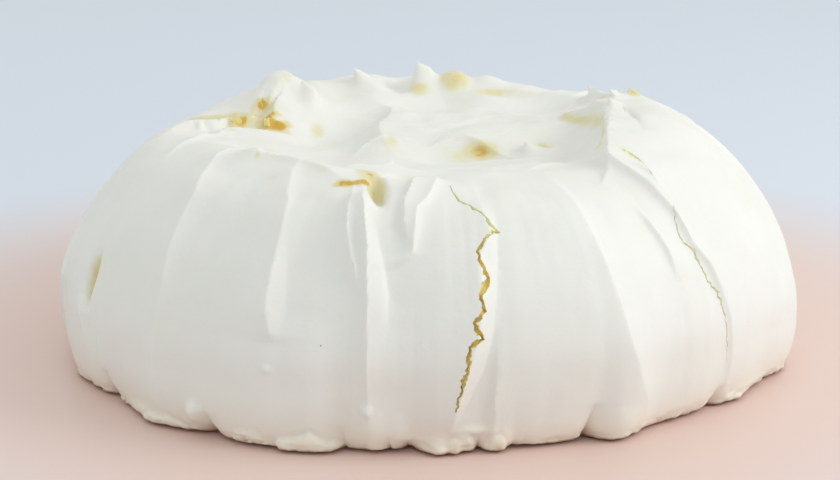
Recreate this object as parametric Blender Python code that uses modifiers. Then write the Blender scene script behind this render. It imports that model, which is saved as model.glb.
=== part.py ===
"""A plain baked pavlova: one thick round of meringue, smoothed up its sides with a spatula and hollowed on top.

The dome is a turned blank whose points are then moved as the spatula moved the meringue. Ridges stand where two
strokes met, the top is scooped into a shallow well inside an uneven rim, and a thin foot spread at the base as it
baked. Small peaks are drawn up out of the top and the cracks are cut in. Everything is one solid.

The tables are in millimetres and degrees, and MM turns them into Blender's metres. The angle round the dome is 0 at
the front (-Y) and grows to the right (+X). The origin is at the middle of the flat underside.
"""

import itertools
import math
import random

import bmesh
import bpy
import numpy as np

MM = 0.001

# Driving sizes.
WIDEST_RADIUS = 114.5
CREST_RADIUS = 70.0
CREST_HEIGHT = 69.0
WELL_HEIGHT = 61.0
REST_RADIUS = 100.0
FLAT_WITHIN = 0.06

# How finely the blank is turned, and how many triangles are left once it is sculpted.
COLUMNS = 720
ROW_STEP = 1.4
FIRST_RING = 8.0
BODY_TRIANGLES = 8950

MERINGUE_COLOUR = (0.93, 0.92, 0.88, 1.0)

# The half outline, from the middle of the well over the rim and down to the edge of the flat underside.
OUTLINE = [
    (0.0, WELL_HEIGHT),
    (28.0, WELL_HEIGHT + 0.3),
    (44.0, 63.0),
    (58.0, 67.0),
    (CREST_RADIUS, CREST_HEIGHT),
    (80.0, 67.0),
    (89.5, 62.0),
    (99.5, 51.5),
    (107.5, 40.0),
    (113.0, 28.0),
    (WIDEST_RADIUS, 17.0),
    (114.2, 10.0),
    (113.0, 5.0),
    (111.4, 2.4),
    (109.8, 1.0),
    (107.4, 0.3),
    (REST_RADIUS, 0.0),
]

# The rim isn't level: how far each part of it stands above or below CREST_HEIGHT, by angle.
RIM_LIFTS = [
    (-180, -0.2),
    (-162, 0.8),
    (-151, 0.0),
    (-138, 2.6),
    (-126, 0.4),
    (-113, -8.0),
    (-98, -6.4),
    (-84, -3.6),
    (-65, -1.0),
    (-45, 0.5),
    (-23, 0.0),
    (-5, -1.5),
    (20, -2.5),
    (38, -1.0),
    (58, 0.0),
    (80, 1.4),
    (100, 2.4),
    (118, 1.4),
    (145, -2.6),
    (165, -0.6),
]

# How far the wall's foot stands outside or inside the outline's, by angle, fading out by FOOT_HEIGHT.
FOOT_REACH = [
    (-180, 0.0),
    (-120, 0.0),
    (-95, -0.5),
    (-80, -0.5),
    (-66, 0.8),
    (-56, -2.3),
    (-40, 0.2),
    (-26, -0.3),
    (-18, -2.3),
    (-11, -6.8),
    (-3, -7.8),
    (1, -6.8),
    (12, -8.8),
    (24, -7.8),
    (29, -5.4),
    (37, -8.0),
    (49, -6.6),
    (60, -4.0),
    (70, -0.8),
    (85, -0.8),
    (125, 0.0),
]
FOOT_HEIGHT = 58.0

# Ridges up the wall. The line is (height, angle) and the rise (height, rise), each from the base up. A ridge falls
# away over its left run to the left and over its right run to the right, so a short run makes a crisp edge.
FRONT_RIDGES = [
    {"line": [(0, -97), (40, -99), (68, -104)], "rise": [(0, 0.6), (40, 0.9), (68, 0.7)], "left": 12, "right": 8},
    {"line": [(0, -82), (12, -82), (26, -80), (40, -84), (66, -92)],
     "rise": [(0, 0.4), (14, 1.4), (30, 1.8), (66, 0.4)], "left": 5, "right": 1.6},
    {"line": [(0, -60), (14, -60.5), (26, -62.6), (34, -64.2), (46, -65.6), (60, -69)],
     "rise": [(0, 0.3), (12, 0.6), (24, 1.8), (36, 2.0), (52, 0.8), (66, 0.2)], "left": 8, "right": 1.4},
    {"line": [(25, -61.4), (29, -62.6), (33, -62.9), (37, -63.2), (42, -63.7)],
     "rise": [(25, 0), (28.5, -3.4), (33, -4.4), (37, -2.6), (42, 0)], "left": 2.0, "right": 1.3},
    {"line": [(9, -74), (19, -76.2), (27, -77)], "rise": [(8, 0), (13, -2.4), (22, -2.8), (27, 0)], "left": 0.9,
     "right": 1.1},
    {"line": [(0, -57), (14, -57), (40, -59)], "rise": [(0, 1.2), (12, 1.2), (40, 0)], "left": 6, "right": 3},
    {"line": [(0, -41.5), (39.5, -42.9), (49, -44.7), (61, -46.2), (65, -48.5), (68, -51)],
     "rise": [(0, 0.6), (30, 1.4), (50, 2.4), (68, 2.4)], "left": 16, "right": 3.4},
    {"line": [(30, -22.2), (40, -23.8), (51, -24.3), (57, -24.9), (63, -26), (67, -29), (71, -34)],
     "rise": [(31, 0), (33.5, 1.5), (38, 2.9), (50, 2.9), (60, 2.3), (70, 1.4)], "left": 12, "right": 3},
    {"line": [(33, -21.6), (39, -21.2), (50.6, -22.6), (58, -24)], "rise": [(33, 0), (38, -0.9), (50, -0.9), (58, 0)],
     "left": 2, "right": 9},
    {"line": [(44, -10.6), (50, -11.4), (53, -12.4), (58, -13.6), (65, -14.6), (69, -16)],
     "rise": [(44, 0), (48, 1.6), (58, 2.4), (63, 1.6), (68, 0.4)], "left": 2.6, "right": 1.3},
    {"line": [(0, -8.5), (31, -8.7), (43, -9), (54, -9.7), (62, -11.2), (68, -13.5)],
     "rise": [(0, 0.6), (12, 1.8), (38, 2.4), (48, 3.4), (58, 4.2), (63, 3.0), (67, 0.6)], "left": 2.4,
     "right": 4.2},
    {"line": [(32, -6), (44, -6), (51, -7), (58, -8.6)], "rise": [(32, 0), (42, -1.2), (54, -1.3), (60, 0)],
     "left": 1.3, "right": 7},
    {"line": [(56, -3.6), (60, -4.4), (65, -4.6), (70, -3.1)], "rise": [(55, 0), (60, 1.7), (70, 1.9)],
     "left": 0.8, "right": 5},
    {"line": [(50.4, -6.4), (52.4, -4.2), (54, -2.7), (59, -2.4), (63, -2.2), (67, 0.5), (69.5, 2)],
     "rise": [(50, 0), (52.5, 1.3), (60, 2.1), (69, 1.6)], "left": 4, "right": 1.2},
    {"line": [(8, 3), (16, 3.9), (26, 5.2), (34, 6.6), (44, 7.5), (53, 7.6), (58, 9.8), (63, 9)],
     "rise": [(6, 0), (12, 1.7), (30, 3.0), (50, 2.6), (60, 1.6), (66, 0.4)], "left": 9, "right": 2.6},
    {"line": [(8, 3.2), (15.7, 5.4), (24, 7.4), (35.7, 9), (47, 10), (59, 11), (66, 11.4)],
     "rise": [(6, 0), (14, -1.2), (35, -1.3), (58, -0.9), (67, 0)], "left": 1.2, "right": 7},
    {"line": [(0, 8.9), (18, 9.1), (34, 9.6)], "rise": [(0, 1.5), (18, 1.3), (38, 0)], "left": 0.9, "right": 9},
    {"line": [(0, 33), (12, 32.3), (20, 30.3), (30, 28.6), (40, 27.6), (58, 26.1), (64.5, 25.9)],
     "rise": [(0, 0.6), (12, 1.2), (30, 2.6), (50, 3.2), (64, 2.2), (69, 1.0)], "left": 17, "right": 5},
    {"line": [(42, 39.8), (50, 39.6), (55, 38.8), (61, 37.8)], "rise": [(42, 0), (48, 1.2), (57, 1.2), (62, 0)],
     "left": 0.8, "right": 6},
    {"line": [(0, 50.4), (16, 50.2), (28, 49.3), (36, 48.2), (44, 46.9), (50, 44.6), (57, 44.6), (64, 43), (69, 41)],
     "rise": [(0, 0.6), (30, 1.2), (46, 1.8), (57, 2.2), (68, 2.6)], "left": 1.2, "right": 17},
    {"line": [(20, 62), (40, 60), (52, 58), (64, 57)], "rise": [(16, 0), (42, 1.5), (60, 1.4), (67, 0)],
     "left": 10, "right": 9},
    {"line": [(0, 72), (30, 73), (66, 78)], "rise": [(0, 1.6), (30, 1.8), (50, 3.8), (60, 3.0), (68, 1.2)], "left": 8,
     "right": 12},
]

# Small lobes on the wall: (angle, height), the reach across and up, and the rise.
WALL_LOBES = [
    {"at": (-34.8, 8), "reach": (2.2, 3.2), "rise": 2.6},
    {"at": (-23, 24), "reach": (1.2, 1.0), "rise": 0.6},
    {"at": (-9, 14), "reach": (1.6, 1.6), "rise": 1.3},
    {"at": (-8.4, 5), "reach": (6, 8), "rise": 1.8},
    {"at": (-4.4, 5), "reach": (3, 6), "rise": 1.2},
    {"at": (-12.6, 62), "reach": (4.2, 3.4), "rise": 1.8},
    {"at": (-45, 2.6), "reach": (9, 2.2), "rise": 1.3},
    {"at": (-16.5, 3), "reach": (9, 2.6), "rise": 0.5},
    {"at": (0.6, 3), "reach": (8, 2.4), "rise": 0.5},
    {"at": (6, 7.4), "reach": (5, 1.4), "rise": 0.9},
    {"at": (10.4, 3), "reach": (3, 4), "rise": 0.8},
    {"at": (28, 5), "reach": (5, 6), "rise": 1.0},
    {"at": (57, 3), "reach": (9, 3), "rise": 0.4},
]

# The back, which has the same strokes at chance places, and the angles that it runs between.
BACK_FROM, BACK_TO = 90, 250
BACK_STROKE = (12, 19)
BACK_SEED = 7

# Ridges on top, as (x, y) seen from above, each from nothing to nothing. Left and right are as one looks along it.
TOP_RIDGES = [
    {"line": [(45, -70), (48.5, -60), (52, -34), (54, -8), (54.5, 8), (50, 24)],
     "rise": [0.0, 2.8, 4.6, 5.2, 4.6, 0.0], "left": 1.4, "right": 12, "ragged": 0.5},
    {"line": [(47, -66), (49, -58), (53, -30), (56, -6), (59, 12), (60, 36)], "rise": [0.0, 1.6, 3.2, 3.0, 2.4, 0.0],
     "left": 12, "right": 15},
    {"line": [(-9, -14), (-14, -1), (-16, 18), (-14, 28), (-12, 42), (-19, 50), (-28, 54)],
     "rise": [0.0, 2.4, 3.8, 4.4, 3.6, 2.0, 0.0], "left": 5, "right": 21},
    {"line": [(-68, -47), (-61, -51), (-48, -53), (-34, -62), (-22, -74)], "rise": [0.0, 2.2, 2.4, 2.0, 0.0],
     "left": 5, "right": 2.2},
    {"line": [(-80, -36), (-73, -21), (-67, -6), (-61, 6)], "rise": [0.0, 1.4, 2.0, 0.0], "left": 6, "right": 1.4},
    {"line": [(-84, 8), (-77, 13), (-70, 16), (-64, 18.5), (-58, 20.5), (-53, 21), (-46, 23)],
     "rise": [0.0, 3.0, 4.0, 5.0, 5.4, 4.2, 0.0], "left": 6, "right": 0.8, "ragged": 1.1},
    {"line": [(-72, 5), (-64, 10.5), (-57, 13.5), (-50, 15), (-43, 18)], "rise": [0.0, 2.0, 2.6, 2.2, 0.0],
     "left": 1.2, "right": 8, "ragged": 0.5},
    {"line": [(-53, 15), (-51.6, 23), (-50, 31), (-47, 40)], "rise": [0.0, 2.4, 3.0, 0.0], "left": 1.4, "right": 8,
     "ragged": 0.7},
    {"line": [(-58, 20), (-57.5, 26), (-56.5, 33), (-54, 40)], "rise": [0.0, 2.0, 1.6, 0.0], "left": 8, "right": 1.0,
     "ragged": 0.7},
    {"line": [(-70, 2), (-64, 5), (-60, 4), (-57, 0)], "rise": [0.0, 1.8, 1.4, 0.0], "left": 1.0, "right": 4},
    {"line": [(-54, 30), (-49, 39), (-42, 43), (-38, 36)], "rise": [0.0, 2.4, 2.8, 0.0], "left": 6, "right": 1.4},
    {"line": [(6, 54), (18, 57.5), (30, 57.5), (42, 53), (50, 46)], "rise": [0.0, 2.4, 2.4, 1.6, 0.0], "left": 5,
     "right": 6},
    {"line": [(0, 24), (22, 34), (44, 26)], "rise": [0.0, 2.2, 0.0], "left": 8, "right": 2.0},
    {"line": [(34, 20), (44, 22), (52, 16), (57, 6)], "rise": [0.0, 1.8, 2.2, 0.0], "left": 6, "right": 1.0},
    {"line": [(2, 2), (12, 2.6), (20, -3), (28, -9)], "rise": [0.0, 1.7, 1.9, 0.0], "left": 10, "right": 0.9},
    {"line": [(60, 10), (62.5, -10), (64, -28)], "rise": [0.0, -1.2, 0.0], "left": 0.8, "right": 3},
    {"line": [(44, 30), (49, 33), (55, 30), (59, 22), (60, 12)], "rise": [0.0, 2.0, 2.4, 2.2, 0.0], "left": 3,
     "right": 0.8, "ragged": 0.6},
    {"line": [(52, 24), (54, 31), (58, 36)], "rise": [0.0, 1.8, 0.0], "left": 0.8, "right": 3},
    {"line": [(52, -57), (58, -58.5), (64, -64), (69, -71)], "rise": [0.0, 0.9, 0.8, 0.0], "left": 3, "right": 0.8},
    {"line": [(-24, -10), (-19, -2), (-12, 1), (-6, -3)], "rise": [0.0, 1.6, 1.8, 0.0], "left": 5, "right": 1.4},
    {"line": [(-30, -56), (-20, -50), (-8, -49), (2, -53)], "rise": [0.0, 1.2, 1.4, 0.0], "left": 4, "right": 1.6},
    {"line": [(24, -60), (31, -52), (40, -48), (47, -50)], "rise": [0.0, 1.0, 1.2, 0.0], "left": 5, "right": 1.6},
    {"line": [(-6, -60), (18, -64), (44, -60)], "rise": [0.0, 1.2, 0.0], "left": 7, "right": 6},
]

# Scoops and mounds on top: (x, y), the reach along and across, which way along points, and the depth, where a
# mound's is below zero.
SCOOPS = [
    {"at": (-38, -12), "reach": (30, 17), "turn": 100, "depth": 2.6},
    {"at": (14, -9), "reach": (18, 8), "turn": 4, "depth": 3.2},
    {"at": (42, -22), "reach": (26, 9), "turn": 85, "depth": 3.4},
    {"at": (0, 50), "reach": (16, 9), "turn": 10, "depth": 2.6},
    {"at": (32, 44), "reach": (14, 8), "turn": -30, "depth": 2.2},
    {"at": (-30, 24), "reach": (16, 11), "turn": 60, "depth": 2.8},
    {"at": (20, 12), "reach": (24, 12), "turn": 20, "depth": -2.6},
    {"at": (-49.5, 44), "reach": (7.4, 7), "turn": 40, "depth": -5.4},
    {"at": (-40, 41), "reach": (4, 4), "turn": 0, "depth": -2.0},
    {"at": (9, 65), "reach": (5.2, 6), "turn": 0, "depth": -3.8},
    {"at": (20.5, 64.5), "reach": (5, 3.4), "turn": -8, "depth": -1.9},
    {"at": (23, 57), "reach": (8, 3), "turn": -8, "depth": 1.6},
    {"at": (-3.5, 34), "reach": (4, 4), "turn": 0, "depth": 0.9},
    {"at": (8, -40), "reach": (34, 12), "turn": 0, "depth": -1.6},
    {"at": (-14.6, -77.5), "reach": (8, 2.4), "turn": 97, "depth": 4.2},
    {"at": (-7, -62), "reach": (6, 4), "turn": 10, "depth": 1.6},
    {"at": (-31, -55), "reach": (6, 3), "turn": 20, "depth": 1.5},
    {"at": (36, 2.5), "reach": (4, 3), "turn": 0, "depth": 1.3},
    {"at": (-58, -18), "reach": (9, 5), "turn": 60, "depth": 1.4},
    {"at": (-2, 16), "reach": (7, 5), "turn": 30, "depth": -1.2},
    {"at": (-11, 66), "reach": (5.8, 8), "turn": 0, "depth": 4.4},
    {"at": (-15, -4), "reach": (6, 4), "turn": 20, "depth": -1.6},
    {"at": (-24, 6), "reach": (9, 6), "turn": 70, "depth": 1.8},
    {"at": (28, -30), "reach": (8, 5), "turn": -30, "depth": -1.0},
]

# Peaks that the spatula pulled up: (x, y) of the foot, the foot's radius, how far the tip leans and stands up.
PULLS = [
    {"at": (-1.6, 66), "radius": 2.8, "lean": (-1.5, 0.2), "tall": 4.2},
    {"at": (1.0, 65.6), "radius": 2.4, "lean": (0.3, 0.0), "tall": 2.2},
    {"at": (-2.6, 65), "radius": 5.4, "lean": (-0.6, 0.0), "tall": 2.6},
    {"at": (-22.4, 61), "radius": 2.6, "lean": (-3.0, 0.6), "tall": 4.6},
    {"at": (-17, 60), "radius": 4.4, "lean": (-2.0, 0.0), "tall": 1.8},
    {"at": (-38.6, 40), "radius": 3.2, "lean": (1.2, -0.6), "tall": 2.2},
    {"at": (31, -5), "radius": 2.4, "lean": (-0.9, 0.5), "tall": 3.4},
    {"at": (-50, -50), "radius": 3.4, "lean": (1.0, -1.0), "tall": 1.6},
    {"at": (66, 22), "radius": 2.8, "lean": (-0.8, 1.0), "tall": 2.6},
    {"at": (55, 31), "radius": 2.6, "lean": (-3.4, 0.4), "tall": 1.8},
    {"at": (60, 16), "radius": 2.6, "lean": (-2.4, -0.6), "tall": 1.4},
    {"at": (58, 4), "radius": 2.0, "lean": (-1.8, 0.4), "tall": 1.6},
    {"at": (-12, -46), "radius": 2.4, "lean": (1.2, 1.2), "tall": 1.8},
    {"at": (-64, 0), "radius": 2.4, "lean": (-0.6, -1.2), "tall": 1.6},
]

# Thin skirts where the foot spread on its paper: (angle, half width in degrees, how far it spreads, height). What
# the table leaves out gets skirts at chance.
FOOT_FLAKES = [
    (-72, 7, 1.6, 3.5),
    (-61, 3, 1.0, 3.0),
    (-49, 6, 1.8, 3.0),
    (-38, 3, 0.8, 3.0),
    (-29, 4, 0.6, 3.0),
    (-17, 6, 2.2, 3.4),
    (-6, 3, 0.4, 2.4),
    (2.6, 4.2, 2.4, 4.0),
    (9.5, 2.4, 1.6, 3.6),
    (18, 6, 0.2, 2.4),
    (30, 4, 0.7, 3.4),
    (42, 4, 0.2, 2.4),
    (58, 6, 0.8, 3.2),
    (73, 3, 1.8, 4.0),
]

# Thin flakes that lift from the foot of the wall: (angle, height), the reach across and up, the rise, how porous,
# and how soft the upper edge is, where the soft ones grow out of the wall like a lip.
FLAKES = [
    {"at": (-68, 0.6), "reach": (12, 3.4), "rise": 1.0, "porous": 0.3, "soft": 1.2},
    {"at": (-54, 0.8), "reach": (5, 2.6), "rise": 0.9, "porous": 0.8, "soft": 0.8},
    {"at": (-41, 1.8), "reach": (9, 3.0), "rise": 1.2, "porous": 0.0, "soft": 0.4},
    {"at": (-26.5, 2.0), "reach": (6.5, 4.4), "rise": 0.9, "porous": 1.7, "soft": 0.6},
    {"at": (-17.6, 2.4), "reach": (9.4, 3.8), "rise": 1.5, "porous": 0.0, "soft": 0.35},
    {"at": (-8, 0.4), "reach": (9, 3.4), "rise": 0.8, "porous": 0.3, "soft": 1.2},
    {"at": (1.4, 0.8), "reach": (9, 4.8), "rise": 1.3, "porous": 0.2, "soft": 1.0},
    {"at": (4.4, 2.8), "reach": (5, 3.8), "rise": 0.8, "porous": 0.4, "soft": 0.4},
    {"at": (9.6, 2.2), "reach": (4, 3.6), "rise": 0.7, "porous": 0.8, "soft": 0.5},
    {"at": (18, 0.4), "reach": (9, 2.4), "rise": 0.4, "porous": 0.4, "soft": 0.9},
    {"at": (28, 0.6), "reach": (7, 4.0), "rise": 0.9, "porous": 0.3, "soft": 1.2},
    {"at": (39, 0.4), "reach": (16, 2.0), "rise": 0.5, "porous": 0.5, "soft": 0.8},
    {"at": (53.6, 0.8), "reach": (7, 3.6), "rise": 1.1, "porous": 0.6, "soft": 0.7},
    {"at": (67, 0.6), "reach": (14, 2.8), "rise": 0.7, "porous": 0.6, "soft": 0.9},
]

# Notches where the foot split, as (angle, half width in degrees, depth, height).
NOTCHES = [
    (-76, 1.0, 2.0, 6),
    (-56.5, 0.8, 3.8, 10),
    (-33.2, 1.2, 4.8, 9),
    (-12.8, 0.5, 2.2, 9),
    (-6.0, 0.5, 1.8, 6),
    (-3.4, 1.4, 3.6, 5),
    (7.2, 0.6, 2.0, 7),
    (12.5, 0.6, 1.4, 4),
    (24.2, 0.9, 5.0, 13),
    (49.4, 0.9, 3.8, 8),
    (66, 0.8, 2.0, 5),
    (112, 1.2, 3.8, 10),
    (136, 0.9, 2.4, 6),
    (158, 1.1, 3.4, 7),
    (-160, 1.2, 4.0, 9),
    (-139, 0.8, 2.2, 6),
    (-118, 1.1, 3.4, 7),
    (-96, 0.8, 2.4, 6),
]

# Cracks up the wall, as (height, angle) from the top down, with the width at the middle and the depth.
WALL_CRACKS = [
    {"line": [(68, 4.3), (65.5, 5.4), (62.3, 8.8), (58.4, 10.9), (56.3, 8.5), (53.7, 7.2), (47.3, 8.5), (44, 7.2),
              (40.6, 7.6), (37.8, 6), (33.9, 7.2), (32.1, 5.4), (25.6, 5), (21.6, 4.2), (14.2, 3.6)],
     "width": 3.0, "depth": 1.2},
    {"line": [(58, 44.6), (53.4, 43.4), (50.4, 43.4), (46.9, 44.9), (40, 46), (36.2, 47.3), (27.7, 48.4),
              (21.9, 48.9), (15.5, 49.4)],
     "width": 1.5, "depth": 0.7},
    {"line": [(64, 168), (58, 165), (52, 168), (45, 166), (36, 167), (28, 164), (20, 165)], "width": 1.9,
     "depth": 1.6},
    {"line": [(58, -126), (50, -129), (44, -130), (36, -128), (27, -130), (19, -129)], "width": 1.6, "depth": 1.4},
    {"line": [(52, 118), (45, 120), (38, 119), (31, 121)], "width": 1.2, "depth": 1.2},
    {"line": [(26, -158), (20, -157), (13, -158)], "width": 1.3, "depth": 1.2},
]

# A crack's leg gets a corner of its own where it climbs more than twice this.
JAG = 1.2

# Tears on top, as (x, y, height) along the torn line.
TOP_TEARS = [
    {"line": [(-66, 17.4, 68), (-62, 19, 67.8), (-57, 19.4, 67.6), (-51, 20, 66.8), (-46, 21.4, 66)],
     "width": 2.8, "depth": 3.0},
    {"line": [(-55.4, 20, 67.6), (-54.8, 25, 67.6), (-54, 30, 68.4), (-54.6, 35, 70)], "width": 3.4, "depth": 2.2},
    {"line": [(-64.5, 4.5, 67), (-62.5, 6.5, 66.5), (-61.6, 9, 66.5)], "width": 1.6, "depth": 2},
    {"line": [(-25.4, -73.6, 68.6), (-21.5, -74, 68.6), (-17.6, -73.2, 68.4)], "width": 1.6, "depth": 1.4},
    {"line": [(-18.4, -72.5, 70), (-17.6, -76, 69.5), (-16.4, -80, 69)], "width": 1.3, "depth": 2.4},
    {"line": [(54.9, -52.2, 72.9), (57.6, -54.9, 71.8), (60.4, -58.4, 70.3)], "width": 2.2, "depth": 1.5},
    {"line": [(60.2, -58.4, 70.4), (62.9, -64.1, 67.5), (66.1, -66.9, 63.5)], "width": 0.7, "depth": 0.5},
    {"line": [(60.4, 2, 74), (61.4, -8, 74.6), (62, -17, 74.8)], "width": 1.2, "depth": 1.2},
]


def ease(x):
    """0 below 0, 1 above 1, and a smooth climb between."""
    x = np.clip(x, 0.0, 1.0)
    return x * x * (3.0 - 2.0 * x)


def curve_through(points, step):
    """Points about one step apart along a smooth curve through the given ones."""
    points = np.array(points, float)
    ends = np.vstack([2 * points[0] - points[1], points, 2 * points[-1] - points[-2]])
    made = []
    for before, start, stop, after in zip(ends, ends[1:], ends[2:], ends[3:]):
        count = max(1, round(float(np.linalg.norm(stop - start)) / step))
        for t in np.arange(count) / count:
            made.append(0.5 * (2 * start + (stop - before) * t
                               + (2 * before - 5 * start + 4 * stop - after) * t ** 2
                               + (3 * start - before - 3 * stop + after) * t ** 3))
    made.append(points[-1])
    return np.array(made)


def round_table(angles, table):
    """The value of an (angle, value) table at each angle, joined up smoothly all the way round."""
    stops = np.array([row[0] for row in table] + [table[0][0] + 360], float)
    values = np.array([row[1] for row in table] + [table[0][1]], float)
    turned = (angles - stops[0]) % 360 + stops[0]
    place = np.clip(np.searchsorted(stops, turned, side="right") - 1, 0, len(stops) - 2)
    share = ease((turned - stops[place]) / (stops[place + 1] - stops[place]))
    return values[place] + (values[place + 1] - values[place]) * share


def ridge(distance, left, right):
    """A ridge's height as a share of its rise, by the signed distance from its crest."""
    return np.where(distance < 0, np.exp(distance / left), np.exp(-distance / right))


def cell_value(cells, seed):
    """A number from -1 to 1 for each whole-numbered cell, the same every time."""
    mixed = cells[:, 0] * 73856093 ^ cells[:, 1] * 19349663 ^ cells[:, 2] * 83492791 ^ seed * 2654435761
    mixed = (mixed ^ (mixed >> 13)) * 1274126177
    mixed = mixed ^ (mixed >> 16)
    return (mixed & 0xFFFF) / 32767.5 - 1.0


def lumps(points, size, seed):
    """Smooth noise from -1 to 1 at each point, with lumps about the given size, which may differ by axis."""
    cells = points / np.array(size, float)
    base = np.floor(cells).astype(np.int64)
    share = cells - base
    share = share * share * (3 - 2 * share)
    total = np.zeros(len(points))
    for corner in itertools.product((0, 1), repeat=3):
        weight = np.prod(np.where(np.array(corner) == 1, share, 1 - share), axis=1)
        total += weight * cell_value(base + np.array(corner), seed)
    return total


def back_ridges():
    """Strokes round the back, each a little different from the last."""
    chance = random.Random(BACK_SEED)
    ridges = []
    angle = BACK_FROM + chance.uniform(0, 6)
    while angle < BACK_TO:
        slant = chance.uniform(-7, 7)
        rise = chance.uniform(1.4, 3.0)
        crisp, gentle = chance.uniform(2.0, 5.0), chance.uniform(9, 16)
        left, right = (crisp, gentle) if chance.random() < 0.5 else (gentle, crisp)
        ridges.append({
            "line": [(0, angle), (30, angle + 0.3 * slant), (68, angle + slant)],
            "rise": [(0, 0.4 * rise), (25, rise), (60, 0.8 * rise), (70, 0.5 * rise)],
            "left": left,
            "right": right,
        })
        angle += chance.uniform(*BACK_STROKE)
    return ridges


def wall_relief(angle, height, radius):
    """How far the wall stands out, from the ridges that the strokes left."""
    relief = np.zeros_like(angle)
    for stroke in FRONT_RIDGES + back_ridges():
        heights, angles = np.array(stroke["line"], float).T
        rise_heights, rises = np.array(stroke["rise"], float).T
        line = np.interp(height, heights, angles)
        rise = np.interp(height, rise_heights, rises)
        beyond = np.clip(heights[0] - height, 0, None)
        turned = (angle - line + 180) % 360 - 180
        distance = np.radians(turned) * np.maximum(radius, 20.0)
        relief += rise * ridge(distance, stroke["left"], stroke["right"]) * np.exp(-beyond / 4)
    return relief


def wall_lobes(angle, height):
    """How far the wall stands out, from its small lobes."""
    relief = np.zeros_like(angle)
    for lobe in WALL_LOBES:
        across = np.radians((angle - lobe["at"][0] + 180) % 360 - 180) * 108 / lobe["reach"][0]
        up = (height - lobe["at"][1]) / lobe["reach"][1]
        relief += lobe["rise"] * np.exp(-((across ** 2 + up ** 2) ** 1.4))
    return relief


def distance_along(x, y, line):
    """The signed distance of each point from a line, above zero on its right, and how far along the line it is."""
    best = np.full_like(x, np.inf)
    signed = np.zeros_like(x)
    place = np.zeros_like(x)
    for number, ((ax, ay), (bx, by)) in enumerate(zip(line, line[1:])):
        along_x, along_y = bx - ax, by - ay
        length = math.hypot(along_x, along_y)
        share = ((x - ax) * along_x + (y - ay) * along_y) / length ** 2
        held = np.clip(share, 0, 1)
        far = np.hypot(x - ax - held * along_x, y - ay - held * along_y)
        side = (x - ax) * along_y - (y - ay) * along_x
        closer = far < best
        best = np.where(closer, far, best)
        signed = np.where(closer, np.where(side < 0, -far, far), signed)
        place = np.where(closer, number + held, place)
    return signed, place


def top_relief(x, y):
    """How far the top stands up, from its ridges, scoops and mounds."""
    relief = np.zeros_like(x)
    for stroke in TOP_RIDGES:
        line = curve_through(stroke["line"], 6)
        signed, place = distance_along(x, y, line)
        if "ragged" in stroke:
            signed = signed + stroke["ragged"] * lumps(np.stack([x, y, 0 * x], axis=1), (2.6, 2.6, 1), 51)
        stops = np.linspace(0, len(line) - 1, len(stroke["rise"]))
        rise = np.interp(place, stops, stroke["rise"])
        relief += rise * ridge(signed, stroke["left"], stroke["right"])
    for scoop in SCOOPS:
        turn = math.radians(scoop["turn"])
        dx, dy = x - scoop["at"][0], y - scoop["at"][1]
        along = (dx * math.cos(turn) + dy * math.sin(turn)) / scoop["reach"][0]
        across = (dy * math.cos(turn) - dx * math.sin(turn)) / scoop["reach"][1]
        relief -= scoop["depth"] * np.exp(-((along ** 2 + across ** 2) ** 1.4))
    return relief


def top_lumps(x, y):
    """The soft lumps that the swirled meringue keeps on top."""
    flat = np.stack([x, y, np.zeros_like(x)], axis=1)
    return 0.7 * lumps(flat, (17, 13, 1), 31) + 0.35 * lumps(flat, (7, 6, 1), 32)


def pull_up(points):
    """Draws the peaks up out of the top, each leaning more the higher it stands."""
    moved = points.copy()
    for pull in PULLS:
        away = np.hypot(points[:, 0] - pull["at"][0], points[:, 1] - pull["at"][1])
        share = np.exp(-((away / pull["radius"]) ** 1.5)) * (points[:, 2] > 40)
        moved[:, 2] += pull["tall"] * share
        moved[:, 0] += pull["lean"][0] * share ** 2
        moved[:, 1] += pull["lean"][1] * share ** 2
    return moved


def foot_spread(angle, height):
    """How far the foot's thin skirts spread at each point, with skirts at chance wherever the table has none."""
    chance = random.Random(BACK_SEED + 1)
    flakes = list(FOOT_FLAKES)
    at = FOOT_FLAKES[-1][0] + 14
    while at < FOOT_FLAKES[0][0] + 360 - 12:
        flakes.append((at, chance.uniform(3, 7), chance.uniform(0.2, 2.2), chance.uniform(2.4, 4.8)))
        at += chance.uniform(9, 17)
    turn = np.radians(angle)
    edge = np.stack([108 * np.sin(turn), 108 * np.cos(turn), np.zeros_like(turn)], axis=1)
    ragged = 1 + 0.30 * lumps(edge, (6, 6, 6), 21) + 0.26 * lumps(edge, (2.4, 2.4, 2.4), 22)
    spread = np.zeros_like(angle)
    for middle, half, reach, tall in flakes:
        away = np.abs((angle - middle + 180) % 360 - 180)
        lip = np.where(height < 1, ease(height), np.exp(-np.maximum(height - 1, 0) / (0.45 * tall)))
        spread = np.maximum(spread, reach * ragged * ease(1.5 - away / half) * lip)
    return spread


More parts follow.
